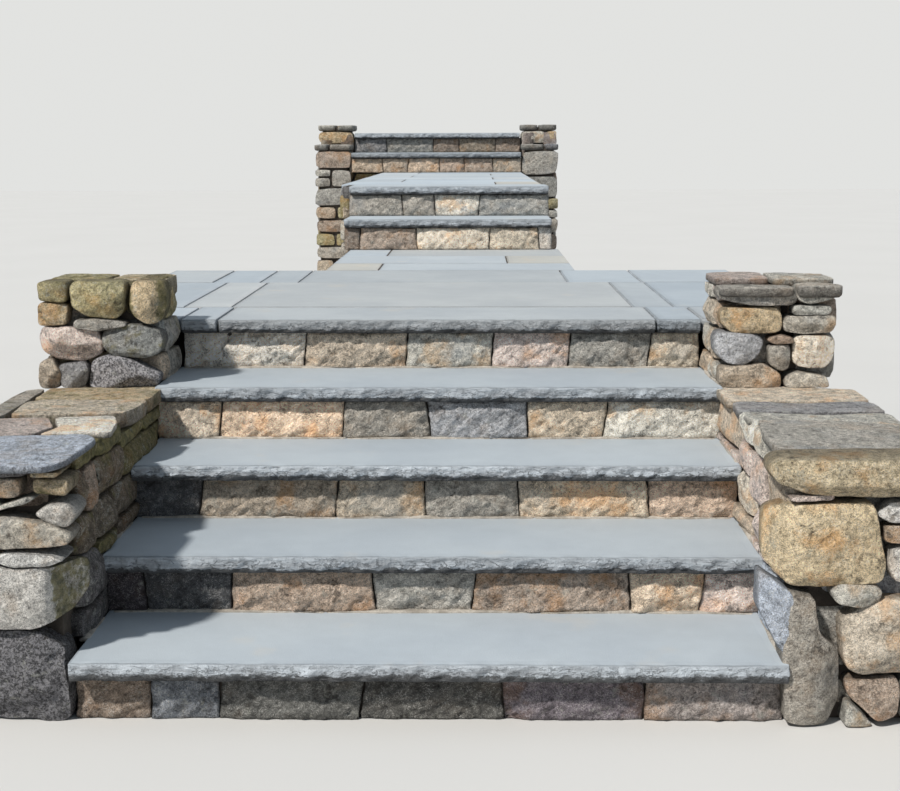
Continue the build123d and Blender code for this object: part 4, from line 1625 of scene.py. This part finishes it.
RIGHT_PIER_TOP = [
    ("pink", 0.0, 1012, 1045, [(905, 1240), (1080, 1235), (1090, 1470), (905, 1475)]),
    ("pale", 0.0, 1012, 1044, [(1092, 1220), (1292, 1225), (1292, 1470), (1100, 1475)]),
    ("grey", 0.0, 992, 1026, [(896, 1100), (1136, 1098), (1140, 1228), (1080, 1230), (900, 1232)]),
    ("grey", 0.0, 990, 1032, [(1146, 1100), (1288, 1102), (1292, 1215), (1150, 1212)]),
]


def build_caps(name, nodes, caps, seed):
    heap = Heap(seed)
    for tone, moss, low, high, corners in caps:
        add_cap(heap, corners, low, high, tone, moss)
    dress(name, heap.mesh(), CAP_WEAR, "fieldstone", nodes, "cap_stone")


def build_cheek_wall(side_name, front_stones, cheek_stones):
    """A cheek wall: drawn stones on its front and on the face by the steps, coursed ones outside."""
    sign = SIGNS[side_name]
    node = f"{side_name}_wall"
    inner = sign * WALL_FACE
    drawn_piece(
        node, WALL_SEED, FRONT + WALL_SETBACK, front_stones, inner, cheek_stones, CHEEK_STONES,
        SUNNY_LIGHT if sign > 0 else 1.0)
    low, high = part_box(node)
    outer = high.x if sign > 0 else low.x
    runs = filling_runs(
        sign, inner, outer, FRONT + PIER_SETBACK + FILLING_SETBACK, FRONT + WALL_OUTER_START, high.y)
    faces = [(*run, 0.0, WALL_FILLING_HEAD) for run in runs]
    build_walling(f"{node}_filling", faces, WALL_FILLING_SEED + sign, WALL_MOSS)
    insets = (WALL_CORE_INSET, CORE_INSET)[::sign]
    left, right = low.x + insets[0], high.x - insets[1]
    core_piece(f"{node}_core", [
        ((left, FRONT + FRONT_CORE_INSET, 0.0), (right, high.y, WALL_CORE_STEP)),
        ((left, PIER_BACK - WALL_CORE_REACH, WALL_CORE_STEP), (right, high.y, high.z))])


# Points round each strip of pointing
POINTING_COUNT = 64
POINTING_SEED = 350
# Strips on the slabs, in millimetres: the width that shows, where they begin, and the width under the wall
LEFT_STRIP = ((3, 8), 190)
RIGHT_STRIP = ((6, 14), 45)
STRIP_UNDER_WALL = 22
STRIP_PLACES = 5
# How far the strips stand above the slab, and how strongly they are worn
STRIP_HEAD = 0.006
STRIP_ROUGHNESS = 0.35
# Strips along the foot of a riser: in millimetres the margin at the ends, how far they reach under the
# riser and how far they stand out before it
FOOT_STRIPS = 3
FOOT_PLACES = 9
FOOT_MARGIN = 14
FOOT_DEPTH = 24
FOOT_SPREAD = (-2, 6)
# How far they stand above the slab, and how strongly they are worn
FOOT_HEAD = 0.004
FOOT_ROUGHNESS = 0.3


def point_sides(heap, step):
    """Pointing where a slab's ends meet the walls."""
    low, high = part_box(f"tread_{step}")
    start = (low.y - FRONT) / MM
    finish = start + RUN / MM
    for sign, (widths, gap) in ((-1, LEFT_STRIP), (1, RIGHT_STRIP)):
        edge = sign * HALF_STEP / MM
        wide = [heap.random.uniform(*widths) for _ in range(STRIP_PLACES)]
        along = np.linspace(start + gap, finish, STRIP_PLACES)
        inner = [(edge - sign * reach, place) for reach, place in zip(wide, along)]
        outer = [(edge + sign * STRIP_UNDER_WALL, place) for place in reversed(along)]
        add_stone(
            heap, ground_side(high.z + STRIP_HEAD), inner + outer, depth=14, tone="pale", arris=4, bulge=4,
            roundness=0.1, count=POINTING_COUNT, rough=STRIP_ROUGHNESS, shares=(0.5,))


def point_foot(heap, step):
    """Thin pointing along the foot of a riser, where it stands on the slab below."""
    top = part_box(f"tread_{step - 1}")[1].z
    face = (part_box(f"riser_{step}")[0].y - FRONT) / MM + RECESS[step]
    reach = HALF_STEP / MM - FOOT_MARGIN
    ends = np.linspace(-reach, reach, FOOT_STRIPS + 1)
    for left, right in zip(ends, ends[1:]):
        places = np.linspace(left, right, FOOT_PLACES)
        near = [(place, face - heap.random.uniform(*FOOT_SPREAD)) for place in places]
        far = [(right, face + FOOT_DEPTH), (left, face + FOOT_DEPTH)]
        add_stone(
            heap, ground_side(top + FOOT_HEAD), near + far, depth=12, tone="pale", arris=3, bulge=3,
            roundness=0.05, count=POINTING_COUNT, rough=FOOT_ROUGHNESS, shares=(0.5,))


# Settings that a user would change

def colour_setting(name, description, default):
    return bpy.props.FloatVectorProperty(
        name=name, description=description, subtype="COLOR", default=default)


def strength_setting(name, description, default):
    return bpy.props.FloatProperty(name=name, description=description, default=default, min=0.0)


class StoneStepsFinish(bpy.types.PropertyGroup):
    """Colours of the stone."""
    top_colour: colour_setting("Slab top", "Colour of the bluestone tops", (0.44, 0.485, 0.52))
    top_shade: colour_setting("Slab top shade", "Darker mottling of the tops", (0.40, 0.445, 0.485))
    edge_colour: colour_setting("Split edge", "Colour of the pitched edges", (0.47, 0.51, 0.55))
    edge_shade: colour_setting("Split edge shade", "Dark layers in the edges", (0.21, 0.22, 0.235))
    moss_colour: colour_setting("Moss", "Dark moss in the hollows", (0.10, 0.095, 0.035))
    moss_light: colour_setting("Moss tips", "Yellow-green of sunlit moss", (0.30, 0.26, 0.10))
    lichen_colour: colour_setting("Lichen", "Pale crusts on the stones", (0.60, 0.60, 0.52))


class StoneStepsStage(bpy.types.PropertyGroup):
    """Floor and light."""
    sun_strength: strength_setting("Key light", "Strength of the key light", 3.65)
    fill_strength: strength_setting("Fill", "Strength of the light from all round", 0.36)
    sun_softness: bpy.props.FloatProperty(
        name="Softness", description="Angle that the key light fills", subtype="ANGLE",
        default=math.radians(3.5))
    floor_size: bpy.props.FloatProperty(
        name="Floor", description="Side of the floor", subtype="DISTANCE", unit="LENGTH", default=80.0)


# Floor, light and camera

SUN_WAY = (0.45, 0.50, -0.74)
SUN_COLOUR = (1.0, 0.965, 0.91)
SKY_COLOUR = (0.70, 0.84, 1.0)
# What the camera sees behind the floor, as light as the floor's far end
BACKDROP_COLOUR = (0.76, 0.765, 0.75)
VIEW_LENGTH = 200.0


def add_floor(size):
    half = size / 2
    mesh = bpy.data.meshes.new("floor")
    corners = [(-half, -half, 0), (half, -half, 0), (half, half, 0), (-half, half, 0)]
    mesh.from_pydata(corners, [], [(0, 1, 2, 3)])
    mesh.materials.append(material("stage"))
    floor = add_object("floor", mesh)


def add_sun(strength, softness):
    sun = bpy.data.lights.new("key_light", "SUN")
    sun.energy = strength
    sun.angle = softness
    sun.color = SUN_COLOUR
    key = add_object("key_light", sun)
    key.rotation_mode = "QUATERNION"
    key.rotation_quaternion = Vector(SUN_WAY).to_track_quat("-Z", "Y")


def add_sky(strength):
    """Light from all round for the stones, and a plain pale backdrop for the camera."""
    world = bpy.data.worlds.new("sky")
    world.use_nodes = True
    world.node_tree.nodes.clear()
    graph = Graph(world.node_tree)
    straight, glossy, through = (
        graph.node("ShaderNodeLightPath", {}, {}, f"Is {ray} Ray")
        for ray in ("Camera", "Glossy", "Transmission"))
    seen = (straight + glossy + through).clamped()
    fill = graph.node("ShaderNodeBackground", {}, {"Color": rgba(SKY_COLOUR), "Strength": strength})
    plain = graph.node("ShaderNodeBackground", {}, {"Color": rgba(BACKDROP_COLOUR), "Strength": 1.0})
    both = graph.node("ShaderNodeMixShader", {}, {0: seen, 1: fill, 2: plain})
    graph.node("ShaderNodeOutputWorld", {}, {"Surface": both}, None)
    return world


def add_camera():
    view = bpy.data.cameras.new("camera")
    view.sensor_width = SENSOR_MM
    view.sensor_fit = "HORIZONTAL"
    view.lens = FOCAL_PIXELS * SENSOR_MM / PHOTO_WIDTH
    view.clip_end = VIEW_LENGTH
    camera = add_object("camera", view)
    camera.location = (CAMERA_PLACE[0], FRONT + CAMERA_PLACE[1], CAMERA_PLACE[2])
    camera.rotation_euler = (math.pi / 2 - CAMERA_PITCH, CAMERA_ROLL, CAMERA_TURN)
    return camera


# Operators

class STEPS_OT_treads(bpy.types.Operator):
    """Lay the thick slabs of the three flights"""
    bl_idname = "steps.lay_treads"
    bl_label = "Treads"

    def execute(self, context):
        for seed, (node, look) in enumerate(TREADS.items()):
            lay_tread(node, *look, 10 + seed)
        lay_flags("landing_edge_slabs", ["landing_edge"], 30, front_rough=True)
        return {"FINISHED"}


class STEPS_OT_paving(bpy.types.Operator):
    """Lay the flags of the landings and the path"""
    bl_idname = "steps.lay_paving"
    bl_label = "Paving"

    def execute(self, context):
        areas = {
            "landing_paving": ["landing_flags_front", "landing_flags_back", "landing_flags_left",
                               "landing_flags_right"],
            "path_paving": ["path_flags"],
            "upper_landing_paving": ["upper_landing_flags"]}
        for seed, (name, nodes) in enumerate(areas.items()):
            lay_flags(name, nodes, 40 + seed)
        return {"FINISHED"}


class STEPS_OT_risers(bpy.types.Operator):
    """Set the split blocks under the slabs"""
    bl_idname = "steps.set_risers"
    bl_label = "Risers"

    def execute(self, context):
        for step in RISER_BLOCKS:
            lay_riser(step)
        return {"FINISHED"}


class STEPS_OT_walls(bpy.types.Operator):
    """Build the two fieldstone cheek walls and their caps"""
    bl_idname = "steps.build_walls"
    bl_label = "Cheek walls"

    def execute(self, context):
        build_cheek_wall("left", LEFT_WALL_FRONT, LEFT_CHEEK)
        build_cheek_wall("right", RIGHT_WALL_FRONT, RIGHT_CHEEK)
        build_caps("left_caps", ["left_wall_cap"], LEFT_CAPS, seed=331)
        build_caps("right_caps", ["right_wall_cap"], RIGHT_CAPS, seed=332)
        heap = Heap(LONG_CAP_SEED)
        add_stone(
            heap, front_side(FRONT + LONG_CAP_SETBACK), LONG_CAP, depth=195, tone="ochre", arris=9,
            bulge=15, roundness=0.05, count=84, shares=LONG_CAP_SHARES, moss=0.30,
            bevels=[(180, 130, 0.35), (270, 18, 0.9)])
        dress("right_long_cap", heap.mesh(), BOULDER_WEAR, "fieldstone", (), "cap_stone")
        return {"FINISHED"}


class STEPS_OT_pointing(bpy.types.Operator):
    """Point the slabs against the cheek walls, and the feet of the risers"""
    bl_idname = "steps.point_slabs"
    bl_label = "Pointing"

    def execute(self, context):
        heap = Heap(POINTING_SEED)
        for step in range(1, 5):
            point_sides(heap, step)
        for step in range(2, 6):
            point_foot(heap, step)
        dress("slab_pointing", heap.mesh(), POINTING_WEAR, "pointing", (), "rubble_bed")
        return {"FINISHED"}


class STEPS_OT_piers(bpy.types.Operator):
    """Build the two piers"""
    bl_idname = "steps.build_piers"
    bl_label = "Piers"

    def execute(self, context):
        build_pier("left", LEFT_PIER_FRONT, LEFT_PIER_SIDE)
        build_pier("right", RIGHT_PIER_FRONT, RIGHT_PIER_SIDE)
        build_caps("left_pier_top", ["left_pier_cap"], LEFT_PIER_TOP, seed=341)
        build_caps("right_pier_top", ["right_pier_cap"], RIGHT_PIER_TOP, seed=342)
        return {"FINISHED"}


class STEPS_OT_beds(bpy.types.Operator):
    """Build the masonry under the landings, the path and the upper flights"""
    bl_idname = "steps.build_beds"
    bl_label = "Beds"

    def execute(self, context):
        blocks = {
            "landing_bed": "left right back", "path_bed": "left right", "step_bed_6": "left right",
            "upper_landing_bed": "left right front", "step_bed_8": "front", "top_bed": "back"}
        for seed, (node, sides) in enumerate(blocks.items(), start=FIRST_BED_SEED):
            masonry_block(node, seed, sides.split())
        upper_cheek("left", seed=420)
        upper_cheek("right", seed=421)
        return {"FINISHED"}


class STEPS_OT_stage(bpy.types.Operator):
    """Set the floor, the lights and the camera"""
    bl_idname = "steps.set_stage"
    bl_label = "Stage"

    def execute(self, context):
        scene = context.scene
        look = scene.stone_steps_stage
        add_floor(look.floor_size)
        add_sun(look.sun_strength, look.sun_softness)
        scene.world = add_sky(look.fill_strength)
        scene.view_settings.view_transform = "Standard"
        scene.camera = add_camera()
        return {"FINISHED"}


class STEPS_PT_panel(bpy.types.Panel):
    """Lists the pieces of the steps"""
    bl_idname = "STEPS_PT_panel"
    bl_label = "Stone steps"
    bl_space_type = "VIEW_3D"
    bl_region_type = "UI"
    bl_category = "Stone steps"

    def draw(self, context):
        for operator in OPERATORS:
            self.layout.operator(operator.bl_idname)
        for group in (context.scene.stone_steps_finish, context.scene.stone_steps_stage):
            for name in group.__annotations__:
                self.layout.prop(group, name)


OPERATORS = (
    STEPS_OT_stage, STEPS_OT_treads, STEPS_OT_paving, STEPS_OT_risers, STEPS_OT_walls, STEPS_OT_pointing,
    STEPS_OT_piers, STEPS_OT_beds)
CLASSES = (StoneStepsFinish, StoneStepsStage, *OPERATORS, STEPS_PT_panel)


def register():
    for item in CLASSES:
        bpy.utils.register_class(item)
    bpy.types.Scene.stone_steps_finish = bpy.props.PointerProperty(type=StoneStepsFinish)
    bpy.types.Scene.stone_steps_stage = bpy.props.PointerProperty(type=StoneStepsStage)


def unregister():
    del bpy.types.Scene.stone_steps_stage
    del bpy.types.Scene.stone_steps_finish
    for item in reversed(CLASSES):
        bpy.utils.unregister_class(item)


def finish_plain_beds():
    """Gives the small rubble beds that no piece replaces the finish of the joints."""
    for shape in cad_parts.values():
        if not shape.hide_render:
            shape.data.materials.clear()
            shape.data.materials.append(material("mortar"))


def main():
    register()
    for operator in OPERATORS:
        getattr(bpy.ops.steps, operator.bl_idname.split(".")[1])()
    finish_plain_beds()


if __name__ == "__main__":
    main()
